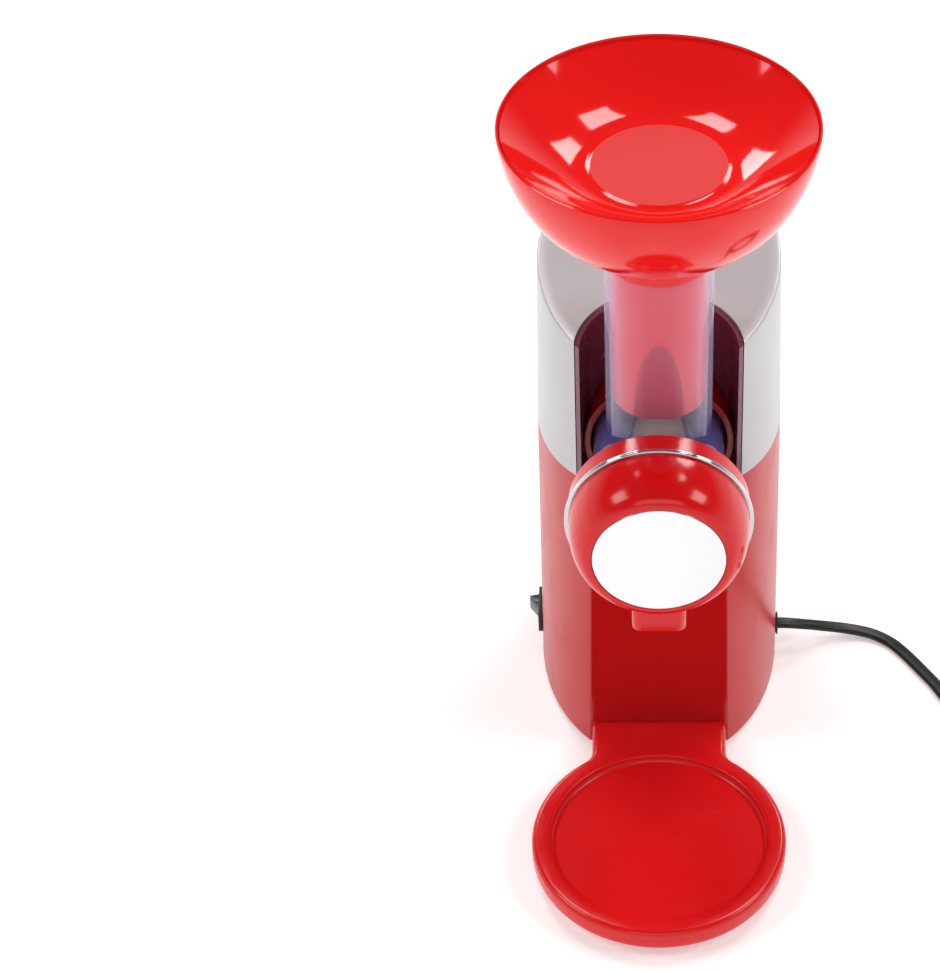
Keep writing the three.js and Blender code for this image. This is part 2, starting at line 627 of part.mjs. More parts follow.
function domeArc(radius, frontRadius, backY, frontY) {
  const points = [];
  for (let i = 0; i <= 3; i += 1) {
    const angle = i * Math.PI / 6;
    points.push([frontRadius + (radius - frontRadius) * Math.cos(angle),
      backY + (frontY - backY) * Math.sin(angle)]);
  }
  return points;
}

function outletCap() {
  const groove = CAP_RADIUS - 1;
  const outside = turnedY([[0, CAP_BACK_Y], [CAP_RADIUS - 0.6, CAP_BACK_Y], [CAP_RADIUS, CAP_BACK_Y - 0.6],
    [CAP_RADIUS, RING_Y + 1.5], [groove, RING_Y + 1.5], [groove, RING_Y - 1.5],
    ...domeArc(CAP_RADIUS, BADGE_RADIUS + 0.9, RING_Y - 1.5, CAP_FRONT_Y), [0, CAP_FRONT_Y]], ROUND_SIDES);
  const hollow = turnedY([[0, CAP_BACK_Y - 2], [CAP_RADIUS - 2.6, CAP_BACK_Y - 2],
    ...domeArc(CAP_RADIUS - 2.6, BADGE_RADIUS - 1, RING_Y - 1.5, CAP_FRONT_Y + 3.6),
    [0, CAP_FRONT_Y + 3.6]], ROUND_SIDES);
  const mouth = rodY(0, AXIS_Z, FLANGE_RADIUS + 0.5, CAP_BACK_Y - 5, CAP_BACK_Y + 5, ROUND_SIDES);
  const badgeSeat = rodY(0, AXIS_Z, BADGE_RADIUS + GAP, CAP_FRONT_Y - 5, CAP_FRONT_Y + 1.3, ROUND_SIDES);
  const spout = slabZ(roundedBox(SPOUT_WIDTH, SPOUT_DEPTH, 4, SPOUT_Y), SPOUT_BOTTOM_Z, 152, 5);
  const spoutBore = slabZ(roundedBox(SPOUT_WIDTH - 4, SPOUT_DEPTH - 4, 2.4, SPOUT_Y), SPOUT_BOTTOM_Z - 5, 156, 4);
  return cut(joined(outside, spout), hollow, mouth, badgeSeat, spoutBore);
}

function capRing() {
  const inner = CAP_RADIUS - 0.7;
  return turnedY([[inner, RING_Y - 1.2], [RING_RADIUS - 0.5, RING_Y - 1.2], [RING_RADIUS, RING_Y],
    [RING_RADIUS - 0.5, RING_Y + 1.2], [inner, RING_Y + 1.2], [inner, RING_Y - 1.2]], ROUND_SIDES);
}

function badgeDisc() {
  return turnedY([[0, CAP_FRONT_Y + 1], [BADGE_RADIUS, CAP_FRONT_Y + 1], [BADGE_RADIUS, CAP_FRONT_Y - 0.1],
    [BADGE_RADIUS - 0.5, CAP_FRONT_Y - 0.5], [0, CAP_FRONT_Y - 0.5]], ROUND_SIDES);
}

function capSeal() {
  return ringY(FLANGE_RADIUS, 27.5, HOUSING_FRONT_Y - 2, HOUSING_FRONT_Y - GAP, AXIS_Z, ROUND_SIDES);
}

// ---------------------------------------------------------------- switch
function switchHousing() {
  const bezel = box(-59.4, -57.8, SWITCH_Y - 9.6, SWITCH_Y + 9.6, SWITCH_Z - 6.4, SWITCH_Z + 6.4);
  const barrel = box(-58.6, -42, SWITCH_Y - 8.2, SWITCH_Y + 8.2, SWITCH_Z - 5.2, SWITCH_Z + 5.2);
  const well = box(-70, -50, SWITCH_Y - 7.4, SWITCH_Y + 7.4, SWITCH_Z - 4.4, SWITCH_Z + 4.4);
  return cut(joined(bezel, barrel), well);
}

// The rocker turns about an upright line; its back end stands proud at rest.
function rocker() {
  const outline = [[3.2, -4.2], [-1.8, -6.9], [-3.4, -1.2], [-7.7, 5.3], [-3, 6.2], [0.2, 6.7], [3.2, 3]];
  const shape = new THREE.Shape(outline.map(([x, y]) => new THREE.Vector2(ROCKER_PIVOT_X + x, SWITCH_Y + y)));
  return slabZ(shape, SWITCH_Z - 4.1, SWITCH_Z + 4.1);
}

// ---------------------------------------------------------------- cord
function cordSection() {
  const round = CORD_THICK / 2;
  const reach = CORD_WIDTH / 2 - round;
  const points = [];
  for (let i = 0; i < 8; i += 1) {
    const angle = (i + 0.5) * Math.PI / 4;
    const side = Math.cos(angle) > 0 ? reach : -reach;
    points.push(new THREE.Vector2(round * Math.sin(angle), side + round * Math.cos(angle)));
  }
  return new THREE.Shape(points);
}

function cordAlong(route, steps) {
  const path = new THREE.CatmullRomCurve3(route.map((p) => new THREE.Vector3(...p)), false, 'centripetal');
  return solid(new THREE.ExtrudeGeometry(cordSection(), { steps, bevelEnabled: false, extrudePath: path }));
}

function cordBushing() {
  const body = joined(rodX(CORD_Y, CORD_Z, 4.9, 50, 58.4), rodX(CORD_Y, CORD_Z, 6.4, 57.9, 59.1));
  return cut(body, box(40, 70, CORD_Y - 3.5, CORD_Y + 3.5, CORD_Z - 2, CORD_Z + 2));
}

function cordClamp() {
  const saddle = box(36, 44, CORD_Y - 11, CORD_Y + 11, TONGUE_TOP_Z + GAP, 21.5);
  return cut(saddle, box(30, 50, CORD_Y - 3.6, CORD_Y + 3.6, 0, CORD_Z + 2));
}

function cordCoil() {
  return turnedZ([[COIL_INNER, COIL_BOTTOM_Z], [COIL_OUTER, COIL_BOTTOM_Z], [COIL_OUTER, COIL_TOP_Z],
    [COIL_INNER, COIL_TOP_Z], [COIL_INNER, COIL_BOTTOM_Z]], ROUND_SIDES, COIL_X, COIL_Y);
}

function cordTie() {
  const band = (grow) => box(COIL_INNER - grow, COIL_OUTER + grow, -2, 2,
    COIL_BOTTOM_Z - grow / 2, COIL_TOP_Z + grow);
  const hollow = box(COIL_INNER - GAP, COIL_OUTER + GAP, -4, 4, COIL_BOTTOM_Z - 0.2, COIL_TOP_Z + GAP);
  return cut(band(1.2), hollow).rotate([0, 0, 150]).translate([COIL_X, COIL_Y, 0]);
}

// A two-blade plug lying flat. Its cord end is at the origin and its blades point along +X.
function plug() {
  const body = joined(box(0, 10, -5.5, 5.5, -5, 5), box(8, 27, -10.5, 10.5, -6.4, 6.4));
  const blades = [-1, 1].map((side) => box(26, 43, side * 6.35 - 0.75, side * 6.35 + 0.75, -3.2, 3.2));
  return joined(body, ...blades).rotate([0, 0, PLUG_HEADING]).translate(PLUG_PLACE);
}

// ---------------------------------------------------------------- assembly
const model = new THREE.Group();
model.position.y = MODEL_SHIFT_Y;

function add(name, body, material) {
  const mesh = new THREE.Mesh(geometryOf(body), material);
  mesh.name = name;
  model.add(mesh);
}

add('body_shell', bodyShell(), RED);
add('top_cover', topCover(), SILVER);
add('bay_liner', bayLiner(), PLUM);
add('front_panel', frontPanel(), DARK_RED);
add('base_tray', baseTray(), RED);
add('base_plate', basePlate(), BLACK);
FEET.forEach((place, i) => add(`foot_${i + 1}`, foot(place), RUBBER));
BASE_SCREWS.forEach((place, i) => add(`base_screw_${i + 1}`, baseScrew(place), STEEL));
add('rear_screw_left', rearScrew(-1), STEEL);
add('rear_screw_right', rearScrew(1), STEEL);

add('drive_seat', driveSeat(), DARK_RED);
add('gear_case', gearCase(), GREY);
add('gear_cover', gearCover(), GREY);
GEAR_SCREWS.forEach((place, i) => add(`gear_screw_${i + 1}`, gearScrew(place), STEEL));
add('output_bush', ringY(7.7, 5.3, CASE_FRONT_Y, CASE_FRONT_Y + 4.6), BRASS);
add('shaft_seal', ringY(8.7, 5.3, CASE_FRONT_Y - 3.4, CASE_FRONT_Y - 0.4), RUBBER);
add('idler_pin', rodY(0, IDLER_Z, 3, CASE_FRONT_Y, CASE_BACK_Y + 2.6, 16), STEEL);
add('idler_gear', idlerGear(), WHITE);
add('output_gear', outputGear(), WHITE);
add('drive_shaft', driveShaft(), STEEL);

add('motor_can', ringY(MOTOR_RADIUS, MOTOR_RADIUS - 1.6, MOTOR_FRONT_Y, MOTOR_BACK_Y, MOTOR_Z, 28), STEEL);
add('motor_front_bell', motorBell(MOTOR_FRONT_Y - 2.3, MOTOR_FRONT_Y - GAP), GREY);
add('motor_rear_bell', motorBell(MOTOR_BACK_Y + GAP, MOTOR_BACK_Y + 2.3), GREY);
add('magnet_left', magnet(-1), FERRITE);
add('magnet_right', magnet(1), FERRITE);
add('motor_cradle', motorCradle(), GREY);
add('motor_shaft', rodY(0, MOTOR_Z, MOTOR_SHAFT_RADIUS, 45, 134, 16), STEEL);
add('rotor_core', rotorCore(), STEEL);
add('commutator', ringY(8, 2.8, 107, 116, MOTOR_Z, 24), COPPER);
add('fan', fan(), BLACK);
add('pinion', pinion(), BRASS);

add('chute', chute(), CLEAR);
add('chute_seal', chuteSeal(), RUBBER);
add('blade_cone', bladeCone(), WHITE);
for (let i = 0; i < BLADE_COUNT; i += 1) add(`cone_blade_${i + 1}`, coneBlade(i, 0), STEEL);
add('plunger', plunger(), BRIGHT_RED);
add('plunger_dish', plungerDish(), BRIGHT_RED);
add('outlet_cap', outletCap(), BRIGHT_RED);
add('cap_ring', capRing(), CHROME);
add('badge_disc', badgeDisc(), WHITE);
add('cap_seal', capSeal(), RUBBER);

add('switch_housing', switchHousing(), BLACK);
add('rocker', rocker(), BLACK);
add('cord_bushing', cordBushing(), BLACK);
add('cord_clamp', cordClamp(), GREY);
add('cord', cordAlong(CORD_ROUTE, 20), BLACK);
add('cord_coil', cordCoil(), BLACK);
add('cord_tail', cordAlong(TAIL_ROUTE, 8), BLACK);
add('cord_tie', cordTie(), BLACK);
add('plug', plug(), BLACK);

export default model;
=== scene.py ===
import math

import bmesh
import bpy
from mathutils import Matrix, Vector


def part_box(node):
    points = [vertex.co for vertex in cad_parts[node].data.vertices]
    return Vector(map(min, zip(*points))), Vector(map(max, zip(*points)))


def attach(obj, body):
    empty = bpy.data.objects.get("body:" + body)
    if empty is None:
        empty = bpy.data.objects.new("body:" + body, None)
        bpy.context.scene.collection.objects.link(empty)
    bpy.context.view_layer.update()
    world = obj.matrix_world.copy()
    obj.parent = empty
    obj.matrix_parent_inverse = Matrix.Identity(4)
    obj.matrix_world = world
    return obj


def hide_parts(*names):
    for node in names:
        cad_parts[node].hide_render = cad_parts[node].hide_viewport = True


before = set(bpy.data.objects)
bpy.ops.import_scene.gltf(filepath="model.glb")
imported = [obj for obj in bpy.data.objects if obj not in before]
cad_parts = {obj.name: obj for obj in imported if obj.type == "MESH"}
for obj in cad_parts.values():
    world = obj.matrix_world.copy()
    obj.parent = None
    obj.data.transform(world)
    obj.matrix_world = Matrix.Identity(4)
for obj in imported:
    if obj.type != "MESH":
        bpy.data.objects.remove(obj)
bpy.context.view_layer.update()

# Everything is shaped in millimetres, with the plunger's axis at X = Y = 0 and the table at Z = 0,
# and is brought into the frame, in metres, as each piece is finished.
MM = 0.001
_low, _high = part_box("plunger")
TO_FRAME = Matrix.Translation((0, (_low.y + _high.y) / 2, 0)) @ Matrix.Scale(MM, 4)


def at(x, y, z):
    """A place in the frame from millimetres."""
    return TO_FRAME @ Vector((x, y, z))


def span(node):
    """The lowest and highest corner of a CAD node, in millimetres from the plunger's axis."""
    back = TO_FRAME.inverted()
    return tuple(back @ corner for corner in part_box(node))


# ---------------------------------------------------------------- sizes, in millimetres
BODY_Y = 61                          # middle of the oval column
BODY_HALF_DEPTH = 83
BODY_LEVELS = ((3.0, 57.6), (157.4, 56.2), (245.0, 54.2))   # height and half width
SEAM_Z = 157.4
SEAM_LEAN = 2.2
SEAM_RISE = 15.8
TOP_Z = 245.0
TOP_SLOPE = 0.078
PANEL_Y = span("front_panel")[0].y
PANEL_TOP_Z = span("front_panel")[1].z
AXIS_Z = 180.0                       # blade cone, cap and drive shaft
BAY_RADIUS = 36.8
BAY_FLOOR_Z = 138.0
LINER_TOP_Z = 262.0                  # before it is cut to the slope of the cover
SEAT_RADIUS = span("drive_seat")[1].x
SEAT_FRONT_Y = span("drive_seat")[0].y
SEAT_BACK_Y = span("drive_seat")[1].y
TUBE_RADIUS = 23.3
TUBE_WALL = 2.0
TUBE_TOP_Z = span("chute")[1].z
HOUSING_RADIUS = 29.0
HOUSING_WALL = 2.5
HOUSING_FRONT_Y = span("chute")[0].y
HOUSING_BACK_Y = span("chute")[1].y
FLANGE_RADIUS = span("chute")[1].x
BOWL_RADIUS = span("plunger")[1].x
BOWL_TOP_Z = span("plunger")[1].z
BOWL_DEPTH = 51.5
BOWL_WALL = 1.8
BOWL_NECK = 25.0
STEM_RADIUS = 20.8
STEM_BOTTOM_Z = span("plunger")[0].z
COLLAR_TOP_Z = 303.0
DISH_FLOOR_Z = 336.6
DISH_FLOOR_RADIUS = 28.2
GROOVE_RADIUS, GROOVE_Z = 31.0, 335.9
CAP_RADIUS = 39.4
CAP_BACK_Y = span("outlet_cap")[1].y
CAP_FRONT_Y = span("outlet_cap")[0].y
RING_Y = (span("cap_ring")[0].y + span("cap_ring")[1].y) / 2
RING_RADIUS = span("cap_ring")[1].x
BADGE_RADIUS = span("badge_disc")[1].x
SPOUT_Y = -53.0
SPOUT_WIDTH, SPOUT_DEPTH = 24.0, 14.0
SPOUT_BOTTOM_Z = span("outlet_cap")[0].z
TRAY_Y = -78.6
TRAY_RADIUS = span("base_tray")[1].x
TRAY_TOP_Z = span("base_tray")[1].z
TRAY_FLOOR_Z = 11.5
RECESS_RADIUS = 50.1
NECK_HALF_WIDTH = 31.7
NECK_FILLET = 8.0
SWITCH_Y, SWITCH_Z = 62.9, 23.0
ROCKER_X = -56.6                     # its upright pivot
CORD_Y, CORD_Z = 59.8, 16.4
CORD_WIDTH, CORD_THICK = 6.4, 3.2


# ---------------------------------------------------------------- camera
def make_camera():
    data = bpy.data.cameras.new("camera")
    data.lens = 111.8
    data.sensor_width = 36.0
    data.sensor_fit = "HORIZONTAL"
    data.shift_x = -0.2011
    data.shift_y = 0.0098
    data.clip_end = 20.0
    camera = bpy.data.objects.new("camera", data)
    camera.location = at(0, -971.5, 1031.8)
    camera.rotation_euler = (math.radians(47.945), 0, 0)
    bpy.context.scene.collection.objects.link(camera)
    bpy.context.scene.camera = camera


# ---------------------------------------------------------------- shader sums
class Wire:
    """An output socket, or a plain number, that sums are written with."""

    def __init__(self, finish, socket):
        self.finish = finish
        self.socket = socket

    def _sum(self, operation, first, second):
        return self.finish.add("ShaderNodeMath", {"operation": operation}, {0: first, 1: second})

    def __add__(self, other):
        return self._sum("ADD", self, other)

    def __radd__(self, other):
        return self._sum("ADD", other, self)

    def __sub__(self, other):
        return self._sum("SUBTRACT", self, other)

    def __rsub__(self, other):
        return self._sum("SUBTRACT", other, self)

    def __mul__(self, other):
        return self._sum("MULTIPLY", self, other)

    def __rmul__(self, other):
        return self._sum("MULTIPLY", other, self)

    def __truediv__(self, other):
        return self._sum("DIVIDE", self, other)

    def __rtruediv__(self, other):
        return self._sum("DIVIDE", other, self)

    def __pow__(self, other):
        return self._sum("POWER", self, other)


class Finish:
    """A material in the making: one Principled shader and what feeds it."""

    def __init__(self, name, **constants):
        self.material = bpy.data.materials.new(name)
        self.material.use_nodes = True
        self.tree = self.material.node_tree
        self.tree.nodes.clear()
        self.shader = self.tree.nodes.new("ShaderNodeBsdfPrincipled")
        output = self.tree.nodes.new("ShaderNodeOutputMaterial")
        self.tree.links.new(self.shader.outputs[0], output.inputs[0])
        for socket, value in constants.items():
            self.shader.inputs[socket.replace("_", " ")].default_value = value

    def add(self, kind, settings=None, inputs=None, output=0):
        node = self.tree.nodes.new(kind)
        for name, value in (settings or {}).items():
            setattr(node, name, value)
        for name, value in (inputs or {}).items():
            self._feed(node.inputs[name], value)
        return Wire(self, node.outputs[output])

    def _feed(self, socket, value):
        if isinstance(value, Wire):
            self.tree.links.new(value.socket, socket)
        else:
            socket.default_value = value

    def feed(self, socket, value):
        self._feed(self.shader.inputs[socket], value)

    # the pieces that most finishes are put together from
    def place(self):
        return self.add("ShaderNodeTexCoord", output="Object")

    def part_of_place(self, letter):
        return self.add("ShaderNodeSeparateXYZ", inputs={0: self.place()}, output=letter)

    def noise(self, size, detail=2.0, stretch=(1, 1, 1), roughness=0.5):
        """Noise from 0 to 1 whose patches are about size metres across."""
        where = self.add("ShaderNodeMapping", inputs={"Vector": self.place(), "Scale": stretch})
        return self.add("ShaderNodeTexNoise",
                        inputs={"Vector": where, "Scale": 1 / size, "Detail": detail, "Roughness": roughness})

    def step(self, value, low, high):
        """0 below low, 1 above high, and smooth between."""
        return self.add("ShaderNodeMapRange", {"interpolation_type": "SMOOTHSTEP"},
                        {"Value": value, "From Min": low, "From Max": high})

    def blend(self, share, first, second):
        return self.add("ShaderNodeMix", {"data_type": "RGBA"},
                        {"Factor": share, "A": first, "B": second}, output=2)

    def bump(self, height, distance, strength=1.0):
        self.feed("Normal", self.add("ShaderNodeBump",
                                     inputs={"Height": height, "Distance": distance, "Strength": strength}))


def srgb(red, green, blue):
    """A display colour, 0 to 255, as a shader colour."""
    def linear(c):
        c /= 255
        return c / 12.92 if c <= 0.04045 else ((c + 0.055) / 1.055) ** 2.4
    return (linear(red), linear(green), linear(blue), 1.0)


# ---------------------------------------------------------------- finishes
def moulded_plastic(name, colour, shade, roughness, grain, coat):
    """Moulded plastic: cloudy colour, a faint grain and handling marks in the gloss."""
    finish = Finish(name, Coat_Weight=coat, Coat_Roughness=0.04, IOR=1.42)
    cloud = finish.noise(0.045, detail=3)
    finish.feed("Base Color", finish.blend(cloud, colour, shade))
    marks = finish.noise(0.012, detail=5, stretch=(1, 1, 0.6))
    finish.feed("Roughness", roughness + 0.08 * finish.step(marks, 0.45, 0.8))
    if grain:
        fine = finish.noise(0.0006, detail=2)
        broad = finish.noise(0.02, detail=1)
        finish.bump(fine * 0.35 + broad * 0.3, grain * MM)
    return finish.material


# name: colour, second colour, roughness, depth of the grain in mm, coat
PLASTICS = {
    "body_red": ((196, 26, 30), (186, 22, 26), 0.3, 0.05, 0),
    # the front panel's own red, darkened with painted shade from the cap above it
    "front_panel_red": ((184, 12, 15), (172, 9, 12), 0.12, 0, 0.2),
    "tray_red": ((226, 20, 24), (216, 16, 20), 0.2, 0.03, 0),
    "cap_red": ((218, 18, 20), (206, 14, 17), 0.14, 0.02, 0),
    "seat_red": ((150, 14, 22), (136, 11, 18), 0.25, 0.03, 0.3),
    # the bay wall's dark red, with painted shade and a painted violet reflection of the clear chute making it
    # plum
    "bay_plum": ((118, 58, 80), (104, 46, 64), 0.25, 0.05, 0.3),
    "black_plastic": ((34, 34, 36), (26, 26, 28), 0.42, 0.06, 0),
    "rocker_black": ((44, 44, 47), (34, 34, 37), 0.28, 0.03, 0.3),
    "rubber": ((38, 37, 36), (30, 30, 30), 0.75, 0.12, 0),
    "grey_plastic": ((142, 144, 147), (132, 134, 137), 0.45, 0.06, 0),
    "white_nylon": ((226, 222, 214), (216, 211, 202), 0.4, 0.05, 0),
    "ferrite": ((52, 50, 52), (42, 40, 42), 0.7, 0.15, 0),
    "cord_black": ((16, 16, 17), (10, 10, 11), 0.35, 0.04, 0),
}


def make_finishes():
    made = {name: moulded_plastic(name, srgb(*colour), srgb(*shade), *surface_values)
            for name, (colour, shade, *surface_values) in PLASTICS.items()}
    made["dish_red"] = dish_plastic()
    made["plunger_red"] = plunger_plastic()
    made["cover_silver"] = silver_lacquer()
    made["chrome_trim"] = bare_metal("chrome_trim", srgb(206, 207, 211), 0.05, 0.0)
    made["badge_white"] = polished_disc()
    made["steel"] = bare_metal("steel", srgb(176, 178, 181), 0.28, 0.02)
    made["brass"] = bare_metal("brass", srgb(198, 160, 92), 0.3, 0.02)
    made["copper"] = bare_metal("copper", srgb(196, 120, 82), 0.34, 0.02)
    made["clear_chute"] = clear_plastic()
    return made


def dish_plastic():
    """The bowl's glossy wall, with a matt, paler floor."""
    finish = Finish("dish_red", IOR=1.42)
    across, along = finish.part_of_place("X"), finish.part_of_place("Y") - at(0, 0, 0).y
    radius = (across * across + along * along) ** 0.5
    floor = 1 - finish.step(radius, (DISH_FLOOR_RADIUS - 0.5) * MM, (DISH_FLOOR_RADIUS + 0.1) * MM)
    cloud = finish.noise(0.045, detail=3)
    wall = finish.blend(cloud, srgb(232, 26, 23), srgb(224, 20, 19))
    finish.feed("Base Color", finish.blend(floor, wall, srgb(214, 44, 41)))
    finish.feed("Roughness", 0.06 + 0.03 * cloud + 0.5 * floor)
    grain = finish.noise(0.0008, detail=2)
    finish.bump(grain * floor, 0.04 * MM)
    return finish.material


def plunger_plastic():
    """Glossy red, with a deeper crimson painted over the shallow arch in the front of the stem as a painted
    reflection of the red cap in the clear tube.
    """
    finish = Finish("plunger_red", IOR=1.42)
    cloud = finish.noise(0.045, detail=3)
    red = finish.blend(cloud, srgb(232, 26, 23), srgb(224, 20, 19))
    across = finish.part_of_place("X") / (11 * MM)
    height = (finish.part_of_place("Z") - STEM_BOTTOM_Z * MM) / (42 * MM)
    outside = finish.step(across * across + height * height, 0.94, 1.0)
    low_down = 1 - finish.step(height, 1.05, 1.1)
    in_front = 1 - finish.step(finish.part_of_place("Y"), at(0, -14, 0).y, at(0, -12, 0).y)
    # the deeper crimson over the arch is a painted reflection of the red cap in the clear tube
    finish.feed("Base Color", finish.blend((1 - outside) * low_down * in_front, red, srgb(190, 12, 34)))
    finish.feed("Roughness", 0.08 + 0.05 * finish.noise(0.012, detail=5))
    finish.bump(finish.noise(0.02, detail=1), 0.02 * MM)
    return finish.material


def bare_metal(name, colour, roughness, grain):
    finish = Finish(name, Metallic=1.0)
    cloud = finish.noise(0.02, detail=4)
    darker = tuple(c * 0.9 for c in colour[:3]) + (1.0,)
    finish.feed("Base Color", finish.blend(cloud, colour, darker))
    finish.feed("Roughness", roughness + 0.06 * finish.noise(0.008, detail=4))
    if grain:
        finish.bump(finish.noise(0.0008, detail=3, stretch=(1, 0.15, 1)), grain * MM)
    return finish.material


def silver_lacquer():
    """Satin silver: fine metal flake in a lacquer."""
    finish = Finish("cover_silver", Metallic=0.45)
    flake = finish.noise(0.0004, detail=2)
    cloud = finish.noise(0.05, detail=2)
    tone = finish.step(flake * 0.6 + cloud * 0.4, 0.3, 0.7)
    finish.feed("Base Color", finish.blend(tone, srgb(192, 190, 191), srgb(182, 180, 181)))
    finish.feed("Roughness", 0.3 + 0.08 * flake)
    finish.bump(flake, 0.012 * MM)
    return finish.material


def polished_disc():
    finish = Finish("badge_white", Metallic=0.7, Coat_Weight=1.0, Coat_Roughness=0.03)
    cloud = finish.noise(0.03, detail=2)
    finish.feed("Base Color", finish.blend(cloud, srgb(238, 238, 240), srgb(232, 233, 236)))
    finish.feed("Roughness", 0.12 + 0.05 * finish.noise(0.01, detail=4))
    return finish.material


def clear_plastic():
    """Clear styrene: nearly invisible face on, milky at the edges, with a violet cast low down."""
    finish = Finish("clear_chute", Roughness=0.04, IOR=1.46, Coat_Weight=0.5, Coat_Roughness=0.02)
    edge = finish.add("ShaderNodeLayerWeight", inputs={"Blend": 0.5}, output="Facing")
    low = finish.step(finish.part_of_place("Z"), at(0, 0, AXIS_Z + 34).z, at(0, 0, AXIS_Z + 22).z)
    finish.feed("Base Color", finish.blend(low, srgb(214, 204, 236), srgb(100, 96, 160)))
    haze = finish.noise(0.02, detail=3)
    finish.feed("Alpha", 0.06 + 0.3 * low + 0.75 * edge ** 3 + 0.04 * haze)
    return finish.material


# ---------------------------------------------------------------- shaping helpers
def rounded(points, segments=5):
    """An outline whose corners (x, y, radius) become arcs. Corners with no radius stay sharp."""
    shaped = []
    for index, point in enumerate(points):
        here = Vector(point[:2])
        if len(point) < 3:
            shaped.append(here)
            continue
        back = (Vector(points[index - 1][:2]) - here).normalized()
        ahead = (Vector(points[(index + 1) % len(points)][:2]) - here).normalized()
        half = back.angle(ahead) / 2
        start = here + back * point[2] / math.tan(half)
        centre = here + (back + ahead).normalized() * point[2] / math.sin(half)
        spoke = start - centre
        turn = math.pi - 2 * half
        if back.x * ahead.y - back.y * ahead.x > 0:
            turn = -turn
        for step in range(segments + 1):
            shaped.append(centre + Matrix.Rotation(turn * step / segments, 2) @ spoke)
    return shaped


def tidy(bm):
    bmesh.ops.remove_doubles(bm, verts=bm.verts, dist=1e-4)
    bmesh.ops.recalc_face_normals(bm, faces=bm.faces)
    return bm


def turned(points, steps=96, along_y=False, middle=(0, 0, 0)):
    """A profile of (radius, height) spun round Z, or round the line along Y."""
    bm = bmesh.new()
    verts = [bm.verts.new((radius, 0, height)) for radius, height in points]
    edges = [bm.edges.new(pair) for pair in zip(verts, verts[1:])]
    bmesh.ops.spin(bm, geom=verts + edges, cent=(0, 0, 0), axis=(0, 0, 1), angle=2 * math.pi, steps=steps,
                   use_merge=True, use_duplicate=False)
    if along_y:
        bmesh.ops.rotate(bm, verts=bm.verts, cent=(0, 0, 0), matrix=Matrix.Rotation(-math.pi / 2, 3, "X"))
    bmesh.ops.translate(bm, verts=bm.verts, vec=middle)
    return tidy(bm)


def turned_y(points, steps=96, x=0.0, z=AXIS_Z):
    return turned(points, steps, True, (x, 0, z))


def surface(columns, rows, place):
    """A grid whose corners are put where place(column, row) says."""
    bm = bmesh.new()
    bmesh.ops.create_grid(bm, x_segments=columns, y_segments=rows, size=0.5)
    for vert in bm.verts:
        vert.co = place(round((vert.co.x + 0.5) * columns), round((vert.co.y + 0.5) * rows))
    return tidy(bm)


def slab(outline, low, high):
    """An outline in X and Y with a flat bottom and top."""
    bm = bmesh.new()
    face = bm.faces.new([bm.verts.new((p[0], p[1], low)) for p in outline])
    pushed = bmesh.ops.extrude_face_region(bm, geom=[face])
    tops = [v for v in pushed["geom"] if isinstance(v, bmesh.types.BMVert)]
    bmesh.ops.translate(bm, verts=tops, vec=(0, 0, high - low))
    return tidy(bm)


def block(x0, x1, y0, y1, z0, z1):
    bm = bmesh.new()
    middle = Vector(((x0 + x1) / 2, (y0 + y1) / 2, (z0 + z1) / 2))
    bmesh.ops.create_cube(bm, size=1, matrix=Matrix.Translation(middle)
                          @ Matrix.Diagonal((x1 - x0, y1 - y0, z1 - z0, 1)))
    return bm


def bar(radius, length, sides=48):
    """A round bar up from the origin."""
    return turned([(0, 0), (radius, 0), (radius, length), (0, length)], sides)


def rod_back(radius, start, length, sides=48):
    """A round bar from a starting place straight towards the back."""
    place = Matrix.Translation(start) @ Matrix.Rotation(-math.pi / 2, 4, "X")
    return moved(bar(radius, length, sides), place)


def round_edges(bm, edges, width, segments=3):
    bmesh.ops.bevel(bm, geom=edges, offset=width, segments=segments, profile=0.5, affect="EDGES",
                    material=-1, clamp_overlap=True)


def sharp_edges(bm, degrees=30):
    return [e for e in bm.edges if len(e.link_faces) == 2 and e.calc_face_angle() > math.radians(degrees)]


def soft_block(x0, x1, y0, y1, z0, z1, width):
    bm = block(x0, x1, y0, y1, z0, z1)
    round_edges(bm, bm.edges[:], width)
    return tidy(bm)


def cap_holes(bm):
    bmesh.ops.holes_fill(bm, edges=[e for e in bm.edges if e.is_boundary], sides=0)
    return tidy(bm)


def moved(bm, matrix):
    bmesh.ops.transform(bm, matrix=matrix, verts=bm.verts)
    return bm


def scratch(bm):
    mesh = bpy.data.meshes.new("scratch")
    bm.to_mesh(mesh)
    bm.free()
    thing = bpy.data.objects.new("scratch", mesh)
    bpy.context.scene.collection.objects.link(thing)
    return thing


def settled(thing):
    """The thing's mesh with its modifiers worked in, as a bmesh. The thing goes."""
    bpy.context.view_layer.update()
    worked = thing.evaluated_get(bpy.context.evaluated_depsgraph_get())
    bm = bmesh.new()
    bm.from_mesh(worked.to_mesh())
    bpy.data.objects.remove(thing)
    return bm


def carved(bm, tools, operation="DIFFERENCE"):
    """bm with each of the tools cut away, joined on or kept in common."""
    thing = scratch(bm)
    helpers = [scratch(tool) for tool in tools]
    for helper in helpers:
        cut = thing.modifiers.new("cut", "BOOLEAN")
        cut.operation = operation
        cut.object = helper
        cut.solver = "EXACT"
    shaped = settled(thing)
    for helper in helpers:
        bpy.data.objects.remove(helper)
    return shaped


def thickened(bm, wall):
    """A skin given a wall on its inner side."""
    thing = scratch(bm)
    skin = thing.modifiers.new("wall", "SOLIDIFY")
    skin.thickness = wall
    skin.offset = -1
    skin.use_even_offset = True
    return settled(thing)


